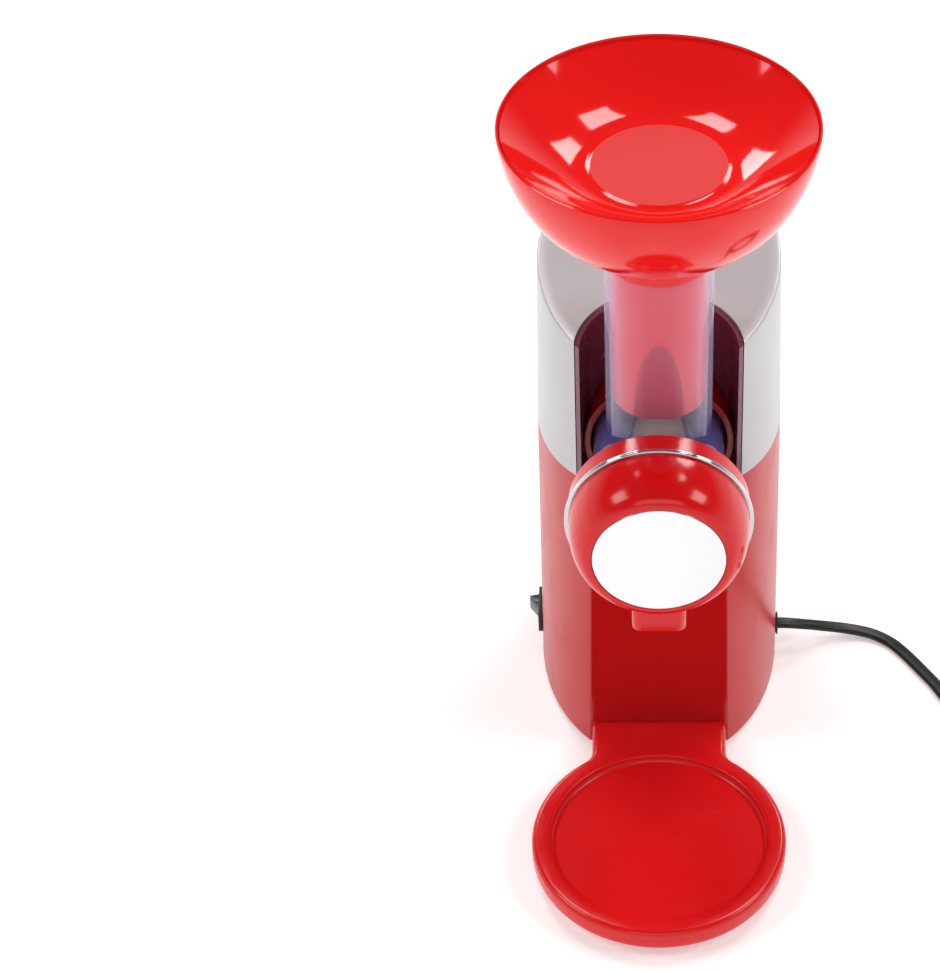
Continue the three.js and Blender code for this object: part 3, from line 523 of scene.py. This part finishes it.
def finish_piece(name, bm, body, material, replaces=(), bevel=0.0, crease=35):
    """Brings a shape into the frame as a finished piece."""
    moved(bm, TO_FRAME)
    mesh = bpy.data.meshes.new(name)
    bm.to_mesh(mesh)
    bm.free()
    piece = bpy.data.objects.new(name, mesh)
    bpy.context.scene.collection.objects.link(piece)
    mesh.shade_smooth()
    mesh.set_sharp_from_angle(angle=math.radians(crease))
    mesh.materials.append(material)
    if bevel:
        edge = piece.modifiers.new("edge", "BEVEL")
        edge.width = bevel * MM
        edge.segments = 2
        edge.limit_method = "ANGLE"
        edge.angle_limit = math.radians(crease)
        edge.harden_normals = False
    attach(piece, body)
    if replaces:
        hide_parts(*replaces)
    return piece


# ---------------------------------------------------------------- the oval column
def half_width(z):
    (z0, w0), (z1, w1), (z2, w2) = BODY_LEVELS
    if z < z1:
        return w0 + (w1 - w0) * (z - z0) / (z1 - z0)
    return w1 + (w2 - w1) * (z - z1) / (z2 - z1)


def on_column(angle, z, inset=0.0):
    """A place on the column's wall. The angle is from +X towards the back."""
    across = half_width(z) - inset
    deep = (half_width(z) - inset) * (BODY_HALF_DEPTH - inset) / (BODY_LEVELS[0][1] - inset)
    return Vector((across * math.cos(angle), BODY_Y + deep * math.sin(angle), z))


def seam_height(y):
    along = (y - BODY_Y) / BODY_HALF_DEPTH
    return SEAM_Z - SEAM_LEAN * along + SEAM_RISE * along * along


def top_height(y):
    return TOP_Z + TOP_SLOPE * (y - BODY_Y)


COLUMN_STEPS = 180


def oval_skin(low, high, rows, inset=0.0):
    """The column's wall between two heights that may change from front to back."""
    def place(column, row):
        angle = 2 * math.pi * (column % COLUMN_STEPS) / COLUMN_STEPS
        y = on_column(angle, 200, inset).y
        z = low(y) + (high(y) - low(y)) * row / rows
        return on_column(angle, z, inset)
    return surface(COLUMN_STEPS, rows, place)


def bay_cutter(radius):
    tool = turned([(0, BAY_FLOOR_Z), (radius, BAY_FLOOR_Z), (radius, 320), (0, 320)], 128)
    return [tool, block(-radius, radius, -60, 0, BAY_FLOOR_Z, 321)]


def make_body_shell(material):
    skin = thickened(oval_skin(lambda y: 3.0, lambda y: seam_height(y) - 0.15, 24), 2.5)
    front = block(-80, 80, -60, PANEL_Y + 0.1, -5, 200)
    screws = [rod_back(4.0, (side * 37, 112, 40), 60) for side in (-1, 1)]
    pip = rod_back(0.7, (0, 141.2, 120), 10)
    shell = carved(skin, [front, *bay_cutter(BAY_RADIUS), *screws, pip])
    finish_piece("body_shell_skin", shell, "base", material, ["body_shell"])


def make_top_cover(material):
    wall, plate, round_off = 2.2, 2.4, 1.0
    # each ring: how far in from the wall, the share of the way from the seam to the top, and the drop
    rings = [(0.0, t / 10, 0.0) for t in range(10)] + [(0.0, 1.0, round_off)]
    rings += [(round_off * (1 - math.cos(a)), 1.0, round_off * (1 - math.sin(a)))
              for a in (math.pi / 2 * step / 4 for step in range(1, 5))]
    rings += [(inset, 1.0, 0.0) for inset in (6, 14, 24, 36, 50)] + [(None, 1.0, 0.0), (None, 1.0, plate)]
    rings += [(inset, 1.0, plate) for inset in (50, 36, 24, 14, 6, wall)]
    rings += [(wall, t / 10, 0.0) for t in range(9, -1, -1)] + [(0.0, 0.0, 0.0)]

    def place(column, row):
        inset, share, drop = rings[row]
        angle = 2 * math.pi * (column % COLUMN_STEPS) / COLUMN_STEPS
        edge = on_column(angle, TOP_Z)
        z = seam_height(edge.y) + 0.15
        z += (top_height(edge.y) - z) * share - drop
        spot = on_column(angle, z)
        centre = Vector((0, BODY_Y, z))
        shrink = 0.0 if inset is None else 1 - inset / (spot - centre).length
        spot = centre + (spot - centre) * shrink
        if share == 1.0:
            spot.z = top_height(spot.y) - drop
        return spot
    cover = carved(surface(COLUMN_STEPS, len(rings) - 1, place), bay_cutter(BAY_RADIUS))
    finish_piece("top_cover_skin", cover, "base", material, ["top_cover"])


def make_bay_liner(material):
    outer = BAY_RADIUS - 0.3
    cup = turned(rounded([(0, BAY_FLOOR_Z + 0.3), (outer, BAY_FLOOR_Z + 0.3), (outer, LINER_TOP_Z),
                          (outer - 2, LINER_TOP_Z), (outer - 2, BAY_FLOOR_Z + 2.6, 3),
                          (0, BAY_FLOOR_Z + 2.6)]), 128)
    keep = oval_skin(lambda y: 130.0, lambda y: top_height(y) - 1.2, 8, 0.3)
    cap_holes(keep)
    liner = carved(cup, [keep], "INTERSECT")
    seat = rod_back(SEAT_RADIUS + 0.3, (0, 2, AXIS_Z), 60, 96)
    liner = carved(liner, [block(-60, 60, -60, PANEL_Y + 0.3, 120, 300), seat])
    finish_piece("bay_liner_skin", liner, "base", material, ["bay_liner"])


def make_front_panel(material):
    def place(column, row):
        z = TRAY_TOP_Z + 0.2 + (PANEL_TOP_Z - TRAY_TOP_Z - 0.2) * row / 8
        half_depth = half_width(z) * BODY_HALF_DEPTH / BODY_LEVELS[0][1]
        reach = on_column(math.asin((PANEL_Y - BODY_Y) / half_depth), z).x - 0.12
        return Vector((reach * (2 * column / 24 - 1), PANEL_Y, z))
    panel = surface(24, 8, place)
    if panel.faces[:][0].normal.y > 0:
        bmesh.ops.reverse_faces(panel, faces=panel.faces)
    panel = thickened(panel, 2.5)
    finish_piece("front_panel_plate", panel, "base", material, ["front_panel"], 0.35)


# ---------------------------------------------------------------- foot and tray
def foot_outline(inset=0.0):
    """The neck, its two fillets and the round tray, as one outline."""
    half = NECK_HALF_WIDTH - inset
    fillet = NECK_FILLET + inset
    radius = TRAY_RADIUS - inset
    rise = math.sqrt((radius + fillet) ** 2 - (half + fillet) ** 2)
    turn = math.atan2(rise, half + fillet)
    side = [(half, PANEL_Y + 2.0)]
    for step in range(9):
        angle = math.pi + turn * step / 8
        side.append((half + fillet + fillet * math.cos(angle), TRAY_Y + rise + fillet * math.sin(angle)))
    around = []
    sweep = math.pi + 2 * turn
    for step in range(1, 96):
        angle = turn - sweep * step / 96
        around.append((radius * math.cos(angle), TRAY_Y + radius * math.sin(angle)))
    return side + around + [(-x, y) for x, y in reversed(side)]


def make_base_tray(material):
    bm = slab(foot_outline(), 3.3, TRAY_TOP_Z)
    top = [e for e in bm.edges if all(v.co.z > TRAY_TOP_Z - 0.1 for v in e.verts)
           and not all(v.co.y > PANEL_Y + 1.9 for v in e.verts)]
    round_edges(bm, top, 2.6, 6)
    low = [e for e in bm.edges if all(v.co.z < 3.4 for v in e.verts)
           and not all(v.co.y > PANEL_Y + 1.9 for v in e.verts)]
    round_edges(bm, low, 4.6, 6)
    hollow = rounded([(0, TRAY_FLOOR_Z), (RECESS_RADIUS - 0.6, TRAY_FLOOR_Z, 2.2),
                      (RECESS_RADIUS + 0.1, TRAY_TOP_Z - 0.4, 0.8),
                      (RECESS_RADIUS + 3, TRAY_TOP_Z + 0.4), (RECESS_RADIUS + 3, 30), (0, 30)])
    recess = turned(hollow, 128, middle=(0, TRAY_Y, 0))
    tray = carved(bm, [recess])
    finish_piece("tray_and_neck", tray, "base", material, ["base_tray"], crease=40)


def make_base_plate(material):
    inset = 3.0
    sheet = oval_skin(lambda y: 3.0, lambda y: 5.0, 1, inset)
    cap_holes(sheet)
    oval = carved(sheet, [block(-80, 80, -60, PANEL_Y + 7, -5, 20)])
    disc = turned(rounded([(0, 3.0), (52.2, 3.0, 0.5), (52.2, 5.0), (0, 5.0)]), 96, middle=(0, TRAY_Y, 0))
    strip = block(-26, 26, -60, PANEL_Y + 3, 3.0, 5.0)
    bridge = block(-24, 24, -20, PANEL_Y + 10, 3.0, 3.2)
    plate = carved(disc, [strip, bridge, oval], "UNION")
    finish_piece("under_plate", plate, "base", material, ["base_plate"])


def make_feet(material):
    for index in range(1, 5):
        node = f"foot_{index}"
        low, high = span(node)
        profile = rounded([(0, 0.0), (6.4, 0.0, 0.9), (7.0, 2.7, 0.6), (2.3, 2.7), (2.3, 5.3),
                           (3.4, 5.3, 0.3), (2.0, 6.5), (0, 6.5)])
        pad = turned(profile, 48, middle=((low.x + high.x) / 2, (low.y + high.y) / 2, 0))
        finish_piece(f"{node}_pad", pad, "base", material, [node])


# ---------------------------------------------------------------- feed chute and plunger
def make_chute(material):
    bore = HOUSING_RADIUS - HOUSING_WALL
    front = HOUSING_FRONT_Y
    ridge = HOUSING_RADIUS + 0.7
    ridges = [corner for start in (9, 15) for corner in
              ((HOUSING_RADIUS, front + start), (ridge, front + start + 0.6, 0.3),
               (ridge, front + start + 2, 0.3), (HOUSING_RADIUS, front + start + 2.6))]
    housing = turned_y(rounded([(0, front), (FLANGE_RADIUS, front, 0.6), (FLANGE_RADIUS, front + 2.6, 0.6),
                                (HOUSING_RADIUS, front + 3.4), *ridges,
                                (HOUSING_RADIUS, HOUSING_BACK_Y), (0, HOUSING_BACK_Y)]), 96)
    inside = TUBE_RADIUS - TUBE_WALL
    tube = turned(rounded([(0, AXIS_Z), (TUBE_RADIUS, AXIS_Z), (TUBE_RADIUS, TUBE_TOP_Z, 0.6),
                           (0, TUBE_TOP_Z)]), 96)
    whole = carved(housing, [tube], "UNION")
    drum = rod_back(bore, (0, front - 5, AXIS_Z), HOUSING_BACK_Y - 2.5 - front + 5, 96)
    well_top = TUBE_TOP_Z + 5
    well = turned([(0, AXIS_Z), (inside, AXIS_Z), (inside, well_top), (0, well_top)], 96)
    hollow = carved(drum, [well], "UNION")
    shaft = rod_back(9.0, (0, 5, AXIS_Z), 60)
    chute = carved(whole, [hollow, shaft])
    finish_piece("clear_chute_body", chute, "feed_chute", material, ["chute"])


def bowl_radius(z):
    share = (BOWL_TOP_Z - z) / BOWL_DEPTH
    return BOWL_NECK + (BOWL_RADIUS - BOWL_NECK) * math.sqrt(max(0.0, 1 - share ** 1.7))


def bowl_side(inset, steps=28):
    """The bowl's wall from its collar up to its rim."""
    points = []
    for step in range(steps + 1):
        share = math.cos(math.pi / 2 * step / steps) ** 1.2
        z = BOWL_TOP_Z - share * (BOWL_DEPTH - inset - 0.05)
        points.append((bowl_radius(z) - inset, z))
    return points


def make_plunger(material):
    collar = TUBE_TOP_Z + 0.3
    inner = STEM_RADIUS - 2
    outside = rounded([(0, STEM_BOTTOM_Z), (STEM_RADIUS, STEM_BOTTOM_Z, 1.2), (STEM_RADIUS, collar),
                       (TUBE_RADIUS - 0.4, collar, 0.4), (TUBE_RADIUS, COLLAR_TOP_Z)])
    wall = bowl_side(0)
    rim = [(BOWL_RADIUS - 0.15, BOWL_TOP_Z - 0.4), (BOWL_RADIUS - 0.6, BOWL_TOP_Z),
           (BOWL_RADIUS - 1.2, BOWL_TOP_Z)]
    inside = [(r, z) for r, z in reversed(bowl_side(BOWL_WALL)) if z < BOWL_TOP_Z - 1]
    core = [(inner, COLLAR_TOP_Z), (inner, STEM_BOTTOM_Z + 2), (0, STEM_BOTTOM_Z + 2)]
    bm = turned([*outside, *wall[:-1], *rim, *inside, *core], 128)
    scoop = turned([(math.sin(a), math.cos(a)) for a in (math.pi * step / 32 for step in range(33))], 64)
    bm = carved(bm, [moved(scoop, Matrix.Translation((0, -STEM_RADIUS - 7.0, STEM_BOTTOM_Z + 2.6))
                           @ Matrix.Diagonal((20, 8.7, 74, 1)))])
    finish_piece("plunger_bowl", bm, "pusher", material, ["plunger"])


def dish_height(radius):
    """A shallow groove round the flat floor, and then the wall up to the rim."""
    if radius < GROOVE_RADIUS:
        share = (GROOVE_RADIUS - radius) / (GROOVE_RADIUS - DISH_FLOOR_RADIUS)
        return GROOVE_Z + (DISH_FLOOR_Z - GROOVE_Z) * share * share
    share = (radius - GROOVE_RADIUS) / (BOWL_RADIUS - GROOVE_RADIUS)
    return GROOVE_Z + (BOWL_TOP_Z - GROOVE_Z) * share ** 1.5


def make_dish(material):
    outer = BOWL_RADIUS - BOWL_WALL + 0.1
    radii = [outer - 0.3 - (outer - 0.3 - DISH_FLOOR_RADIUS) * step / 40 for step in range(41)]
    top = [(r, dish_height(r)) for r in radii]
    under = [(r, dish_height(r) - 2) for r in reversed(radii)]
    bm = turned([(0, DISH_FLOOR_Z - 2), *under, (outer, BOWL_TOP_Z - 1.4), (outer, BOWL_TOP_Z - 0.5), *top,
                 (DISH_FLOOR_RADIUS - 0.5, DISH_FLOOR_Z), (0, DISH_FLOOR_Z)], 128)
    finish_piece("plunger_dish_face", bm, "pusher", material, ["plunger_dish"])


# ---------------------------------------------------------------- outlet cap
def dome(radius, front_radius, back, front, steps=12):
    return [(front_radius + (radius - front_radius) * math.cos(a), back + (front - back) * math.sin(a))
            for a in (math.pi / 2 * step / steps for step in range(steps + 1))]


def oblong(width, depth, corner, y):
    """A rectangle with round corners, centred on X = 0."""
    w, d = width / 2, depth / 2
    return rounded([(w, y - d, corner), (w, y + d, corner), (-w, y + d, corner), (-w, y - d, corner)], 6)


def make_cap(material):
    groove = CAP_RADIUS - 1
    outside = [(FLANGE_RADIUS + 0.5, CAP_BACK_Y), (CAP_RADIUS - 0.8, CAP_BACK_Y),
               (CAP_RADIUS, CAP_BACK_Y - 0.8), (CAP_RADIUS, RING_Y + 1.4),
               (groove, RING_Y + 1.4), (groove, RING_Y - 1.4)]
    face = [*dome(CAP_RADIUS, BADGE_RADIUS + 0.9, RING_Y - 1.4, CAP_FRONT_Y + 0.5),
            (BADGE_RADIUS + 0.3, CAP_FRONT_Y + 0.7), (BADGE_RADIUS + 0.3, CAP_FRONT_Y + 1.9),
            (0, CAP_FRONT_Y + 1.9), (0, CAP_FRONT_Y + 4)]
    inside = [*reversed(dome(CAP_RADIUS - 2.6, BADGE_RADIUS - 1, RING_Y - 1.4, CAP_FRONT_Y + 4)),
              (CAP_RADIUS - 2.6, CAP_BACK_Y - 2), (FLANGE_RADIUS + 0.5, CAP_BACK_Y - 2),
              (FLANGE_RADIUS + 0.5, CAP_BACK_Y)]
    shell = turned_y([*outside, *face, *inside], 128)
    spout = slab(oblong(SPOUT_WIDTH, SPOUT_DEPTH, 4.5, SPOUT_Y), SPOUT_BOTTOM_Z, 152)
    lip = [e for e in spout.edges if all(v.co.z < SPOUT_BOTTOM_Z + 0.1 for v in e.verts)]
    round_edges(spout, lip, 0.6, 3)
    hollow = turned_y([(0, CAP_BACK_Y - 2), (CAP_RADIUS - 3, CAP_BACK_Y - 2),
                       *dome(CAP_RADIUS - 3, BADGE_RADIUS - 1.4, RING_Y - 1.4, CAP_FRONT_Y + 4.4),
                       (0, CAP_FRONT_Y + 4.4)], 96)
    bore = slab(oblong(SPOUT_WIDTH - 4, SPOUT_DEPTH - 4, 2.6, SPOUT_Y), SPOUT_BOTTOM_Z - 5, 156)
    whole = carved(shell, [carved(spout, [hollow])], "UNION")
    cap = carved(whole, [bore])
    finish_piece("outlet_cap_shell", cap, "front_cap", material, ["outlet_cap"])


def make_cap_ring(material):
    back = [(RING_RADIUS - 0.7 + 0.7 * math.sin(a), RING_Y + 0.5 + 0.7 * math.cos(a))
            for a in (math.pi * 0.8 * step / 10 for step in range(11))]
    front = [(radius, 2 * RING_Y - y) for radius, y in reversed(back)]
    profile = [(CAP_RADIUS - 0.7, RING_Y + 1.2), *back, *front, (CAP_RADIUS - 0.7, RING_Y - 1.2),
               (CAP_RADIUS - 0.7, RING_Y + 1.2)]
    finish_piece("cap_ring_trim", turned_y(profile, 128), "front_cap", material, ["cap_ring"])


def make_badge(material):
    back = CAP_FRONT_Y + 1.6
    disc = turned_y(rounded([(0, back), (BADGE_RADIUS, back), (BADGE_RADIUS, CAP_FRONT_Y + 0.3, 0.7),
                             (0, CAP_FRONT_Y)]), 128)
    finish_piece("badge_face", disc, "front_cap", material, ["badge_disc"])


def make_drive_seat(material):
    inner = HOUSING_RADIUS + 1.2
    ring = turned_y(rounded([(inner, SEAT_FRONT_Y, 0.6), (SEAT_RADIUS, SEAT_FRONT_Y, 0.6),
                             (SEAT_RADIUS, SEAT_BACK_Y), (9, SEAT_BACK_Y), (9, SEAT_BACK_Y - 3.2),
                             (inner, SEAT_BACK_Y - 3.2, 1.0), (inner, SEAT_FRONT_Y + 1)]), 96)
    clear = turned([(0, AXIS_Z), (TUBE_RADIUS + 1, AXIS_Z), (TUBE_RADIUS + 1, 230), (0, 230)], 96)
    finish_piece("drive_seat_ring", carved(ring, [clear]), "base", material, ["drive_seat"])


# ---------------------------------------------------------------- switch and cord outlet
def make_switch(plastic, rocker_finish):
    bezel = soft_block(-59.4, -57.0, SWITCH_Y - 9.6, SWITCH_Y + 9.6, SWITCH_Z - 6.4, SWITCH_Z + 6.4, 0.6)
    barrel = block(-58.6, -42, SWITCH_Y - 8.2, SWITCH_Y + 8.2, SWITCH_Z - 5.2, SWITCH_Z + 5.2)
    well = block(-70, -50, SWITCH_Y - 7.4, SWITCH_Y + 7.4, SWITCH_Z - 4.4, SWITCH_Z + 4.4)
    frame_part = carved(carved(bezel, [barrel], "UNION"), [well])
    finish_piece("switch_frame", frame_part, "base", plastic, ["switch_housing"])
    outline = [(3.2, -4.2), (-1.8, -6.9), (-3.4, -1.2), (-7.7, 5.3), (-3, 6.2), (0.2, 6.7), (3.2, 3)]
    corners = rounded([(ROCKER_X + x, SWITCH_Y + y, 0.6) for x, y in outline], 3)
    key = slab(corners, SWITCH_Z - 4.1, SWITCH_Z + 4.1)
    round_edges(key, sharp_edges(key, 60), 0.35, 2)
    finish_piece("rocker_key", key, "switch_rocker", rocker_finish, ["rocker"])


def make_bushing(material):
    body = moved(turned(rounded([(0, 0), (4.9, 0), (4.9, 7.9), (5.6, 7.9), (5.6, 8.6, 0.4), (0, 8.6)]), 64),
                 Matrix.Translation((50, CORD_Y, CORD_Z)) @ Matrix.Rotation(math.pi / 2, 4, "Y"))
    slot = soft_block(40, 70, CORD_Y - 3.5, CORD_Y + 3.5, CORD_Z - 2, CORD_Z + 2, 1.2)
    finish_piece("cord_bush", carved(body, [slot]), "base", material, ["cord_bushing"])


# ---------------------------------------------------------------- cord
CORD_LIES = 1.7                      # the cord's middle where it lies on the table
CORD_ROUTE = [
    (50, 59.8, 16.4), (57.5, 59.8, 16.4), (64, 60.4, 15.6), (71.5, 62.3, 13), (80.2, 65.3, 9),
    (93.5, 67.7, 4.6), (106, 66.1, 2.6), (114.8, 61.2, CORD_LIES), (119.9, 55.6, CORD_LIES),
    (124, 50, CORD_LIES),
    (127.6, 44.5, CORD_LIES), (131.2, 38.9, CORD_LIES), (134.8, 33.2, CORD_LIES), (137.6, 28, CORD_LIES),
    (140, 23.3, CORD_LIES), (146, 12.9, 1.9),
]
COIL_MIDDLE = Vector((186.6, 22.6, 0))
COIL_OUT, COIL_IN = 40.0, 33.4       # middles of the outer and inner turns
COIL_START = 210                     # degrees, where the cord runs into the coil
LAYER_Z = (2.4, 5.7, 9.2)
TAIL_ROUTE = [
    (206.2, -8.4, 9.6), (210.4, -5.2, 10), (214, -1.4, 11), (216.9, 3, 12.4), (219.2, 7.6, 13.6),
    (220.8, 12, 14.3), (221.3, 13.9, 14.4),
]


def ease(value, low, high):
    share = min(1.0, max(0.0, (value - low) / (high - low)))
    return share * share * (3 - 2 * share)


def coil_turns():
    """Two turns on the table, outer then inner, two more on top of them, and the way up to the plug."""
    points = []
    steps = 4 * 36 + 7
    for step in range(steps + 1):
        turns = step / 36
        out_share = 1 - ease(turns, 0.9, 1.1) + ease(turns, 2.9, 3.1) - 0.5 * ease(turns, 3.9, 4.1)
        radius = COIL_IN + (COIL_OUT - COIL_IN) * out_share
        z = (LAYER_Z[0] + (LAYER_Z[1] - LAYER_Z[0]) * ease(turns, 1.88, 2.08)
             + (LAYER_Z[2] - LAYER_Z[1]) * ease(turns, 3.82, 4.02))
        angle = math.radians(COIL_START) + 2 * math.pi * turns
        points.append(COIL_MIDDLE + Vector((radius * math.cos(angle), radius * math.sin(angle), z)))
    return points


def smooth_line(points, pieces=4):
    """A curve through the points."""
    line = [Vector(p) for p in points]
    line = [2 * line[0] - line[1], *line, 2 * line[-1] - line[-2]]
    fine = []
    for a, b, c, d in zip(line, line[1:], line[2:], line[3:]):
        for step in range(pieces):
            t = step / pieces
            fine.append(0.5 * ((2 * b) + (c - a) * t + (2 * a - 5 * b + 4 * c - d) * t * t
                               + (3 * b - a - 3 * c + d) * t ** 3))
    return [*fine, line[-2]]


def cord_section():
    """Two round cores side by side with a shallow groove between, as (across, up)."""
    round_part = CORD_THICK / 2
    offset = CORD_WIDTH / 2 - round_part
    right = [(offset + round_part * math.cos(a), round_part * math.sin(a))
             for a in (math.radians(-100 + 25 * step) for step in range(9))]
    left = [(-x, -y) for x, y in right]
    groove = 0.78 * round_part
    return [*right, (0, groove), *left, (0, -groove)]


def swept(line, section):
    """A section carried along a line, its width kept level."""
    def place(column, row):
        here = line[column]
        ahead = (line[min(column + 1, len(line) - 1)] - line[max(column - 1, 0)]).normalized()
        across = ahead.cross(Vector((0, 0, 1))).normalized()
        up = across.cross(ahead)
        x, y = section[row % len(section)]
        return here + across * x + up * y
    return cap_holes(surface(len(line) - 1, len(section), place))


def make_cord(sheath, plastic, steel):
    line = smooth_line([*CORD_ROUTE, *coil_turns(), *TAIL_ROUTE])
    flex = finish_piece("mains_cord", swept(line, cord_section()), "base", sheath,
                        ["cord", "cord_coil", "cord_tail"])
    plug = make_plug(plastic, steel)
    tie = make_tie(plastic)
    path = [TO_FRAME @ p for p in line]
    length = sum((b - a).length for a, b in zip(path, path[1:]))


def make_plug(plastic, steel):
    """A two-blade plug lying flat on the coil."""
    place = Matrix.Translation((221.3, 13.6, 14.4)) @ Matrix.Rotation(math.radians(100), 4, "Z")
    neck = slab(rounded([(0, -3.6, 1), (0, 3.6, 1), (9.5, 5.4), (9.5, -5.4)], 4), -3.2, 3.2)
    round_edges(neck, sharp_edges(neck, 50), 1.0, 3)
    grip = slab(rounded([(8, -7.5, 3), (27, -10.5, 2), (27, 10.5, 2), (8, 7.5, 3)], 5), -6.4, 6.4)
    round_edges(grip, sharp_edges(grip, 60), 1.6, 4)
    ribs = [soft_block(12 + 3 * k, 13.4 + 3 * k, -7.5, 7.5, -6.9, 6.9, 0.5) for k in range(4)]
    body = carved(grip, [neck, *ribs], "UNION")
    handle = finish_piece("plug_grip", moved(body, place), "base", plastic, ["plug"])
    for side, word in ((-1, "left"), (1, "right")):
        blade = soft_block(26, 43, side * 6.35 - 0.75, side * 6.35 + 0.75, -3.2, 3.2, 0.35)
        finish_piece(f"plug_blade_{word}", moved(blade, place), "base", steel)
    return handle


def make_tie(plastic):
    low, high = 29.3, 43.9
    band = soft_block(low - 0.6, high + 0.6, -1.8, 1.8, 0.15, 8.4, 0.5)
    hole = block(low + 0.2, high - 0.2, -4, 4, 0.7, 7.8)
    knot = soft_block(high, high + 2.4, -2.3, 2.3, 3.2, 7.2, 0.6)
    loop = carved(carved(band, [knot], "UNION"), [hole])
    turn = Matrix.Translation(COIL_MIDDLE) @ Matrix.Rotation(math.radians(150), 4, "Z")
    return finish_piece("coil_tie", moved(loop, turn), "base", plastic, ["cord_tie"])


# ---------------------------------------------------------------- the CAD pieces that show as they are
CAD_FINISHES = {
    "steel": ["base_screw_1", "base_screw_2", "base_screw_3", "base_screw_4", "rear_screw_left",
              "rear_screw_right", "gear_screw_1", "gear_screw_2", "idler_pin", "drive_shaft", "motor_shaft",
              "motor_can", "rotor_core", "cone_blade_1", "cone_blade_2", "cone_blade_3", "cone_blade_4"],
    "grey_plastic": ["gear_case", "gear_cover", "motor_front_bell", "motor_rear_bell", "motor_cradle",
                     "cord_clamp"],
    "white_nylon": ["idler_gear", "output_gear", "blade_cone"],
    "brass": ["output_bush", "pinion"],
    "copper": ["commutator"],
    "ferrite": ["magnet_left", "magnet_right"],
    "black_plastic": ["fan"],
    "rubber": ["shaft_seal", "chute_seal", "cap_seal"],
}


def dress_cad_pieces(finishes):
    for finish, nodes in CAD_FINISHES.items():
        for node in nodes:
            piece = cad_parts[node]
            piece.data.materials.clear()
            piece.data.materials.append(finishes[finish])


# ---------------------------------------------------------------- floor and light
def make_stage():
    bm = bmesh.new()
    bmesh.ops.create_grid(bm, x_segments=1, y_segments=1, size=6)
    mesh = bpy.data.meshes.new("floor")
    bm.to_mesh(mesh)
    bm.free()
    floor = bpy.data.objects.new("floor", mesh)
    bpy.context.scene.collection.objects.link(floor)
    paper = Finish("floor_paper", Roughness=0.9, Specular_IOR_Level=0.1, Emission_Strength=1.0)
    across, along = paper.part_of_place("X"), paper.part_of_place("Y")
    far = paper.step((across * across + along * along) ** 0.5, 0.6, 2.2)
    paper.feed("Emission Color", paper.blend(far, (0.32, 0.32, 0.32, 1), (0.95, 0.95, 0.95, 1)))
    paper.feed("Base Color", paper.blend(paper.noise(0.3), srgb(246, 246, 246), srgb(243, 243, 243)))
    mesh.materials.append(paper.material)


def softbox(name, place, target, width, height, power):
    data = bpy.data.lights.new(name, "AREA")
    data.shape = "RECTANGLE"
    data.size, data.size_y = width, height
    data.energy = power
    lamp = bpy.data.objects.new(name, data)
    lamp.location = place
    lamp.rotation_euler = (Vector(target) - Vector(place)).to_track_quat("-Z", "Y").to_euler()
    bpy.context.scene.collection.objects.link(lamp)


def make_light():
    world = bpy.data.worlds.new("studio")
    world.use_nodes = True
    sky = world.node_tree.nodes["Background"]
    direction = world.node_tree.nodes.new("ShaderNodeTexCoord")
    split = world.node_tree.nodes.new("ShaderNodeSeparateXYZ")
    rise = world.node_tree.nodes.new("ShaderNodeMapRange")
    for socket, value in (("From Min", 0.12), ("From Max", 0.4), ("To Min", 1.0), ("To Max", 0.1)):
        rise.inputs[socket].default_value = value
    link = world.node_tree.links.new
    link(direction.outputs["Generated"], split.inputs[0])
    link(split.outputs["Z"], rise.inputs["Value"])
    link(rise.outputs[0], sky.inputs["Color"])
    bpy.context.scene.world = world
    middle = (0, 0, 0.25)
    softbox("back_right", (0.62, 0.68, 1.9), middle, 0.46, 0.46, 8)
    softbox("back_left", (-0.52, 0.82, 1.9), middle, 0.46, 0.46, 8)
    softbox("far_right", (1.0, 1.85, 1.8), middle, 0.6, 0.6, 12)
    softbox("far_left", (-0.85, 2.0, 1.4), middle, 0.6, 0.6, 12)
    softbox("front_right", (1.6, -0.2, 1.7), middle, 0.9, 0.6, 12)
    softbox("front_left", (-1.6, -0.2, 1.7), middle, 0.9, 0.6, 12)
    softbox("fill", (0, -2.3, 1.9), middle, 2.4, 1.2, 15)
    bpy.context.scene.view_settings.view_transform = "Standard"


# ---------------------------------------------------------------- assembly
make_camera()
finishes = make_finishes()
make_cord(finishes["cord_black"], finishes["black_plastic"], finishes["steel"])
make_body_shell(finishes["body_red"])
make_top_cover(finishes["cover_silver"])
make_bay_liner(finishes["bay_plum"])
make_front_panel(finishes["front_panel_red"])
make_base_tray(finishes["tray_red"])
make_base_plate(finishes["black_plastic"])
make_feet(finishes["rubber"])
make_drive_seat(finishes["seat_red"])
make_chute(finishes["clear_chute"])
make_plunger(finishes["plunger_red"])
make_dish(finishes["dish_red"])
make_cap(finishes["cap_red"])
make_cap_ring(finishes["chrome_trim"])
make_badge(finishes["badge_white"])
make_switch(finishes["black_plastic"], finishes["rocker_black"])
make_bushing(finishes["black_plastic"])
dress_cad_pieces(finishes)
make_stage()
make_light()
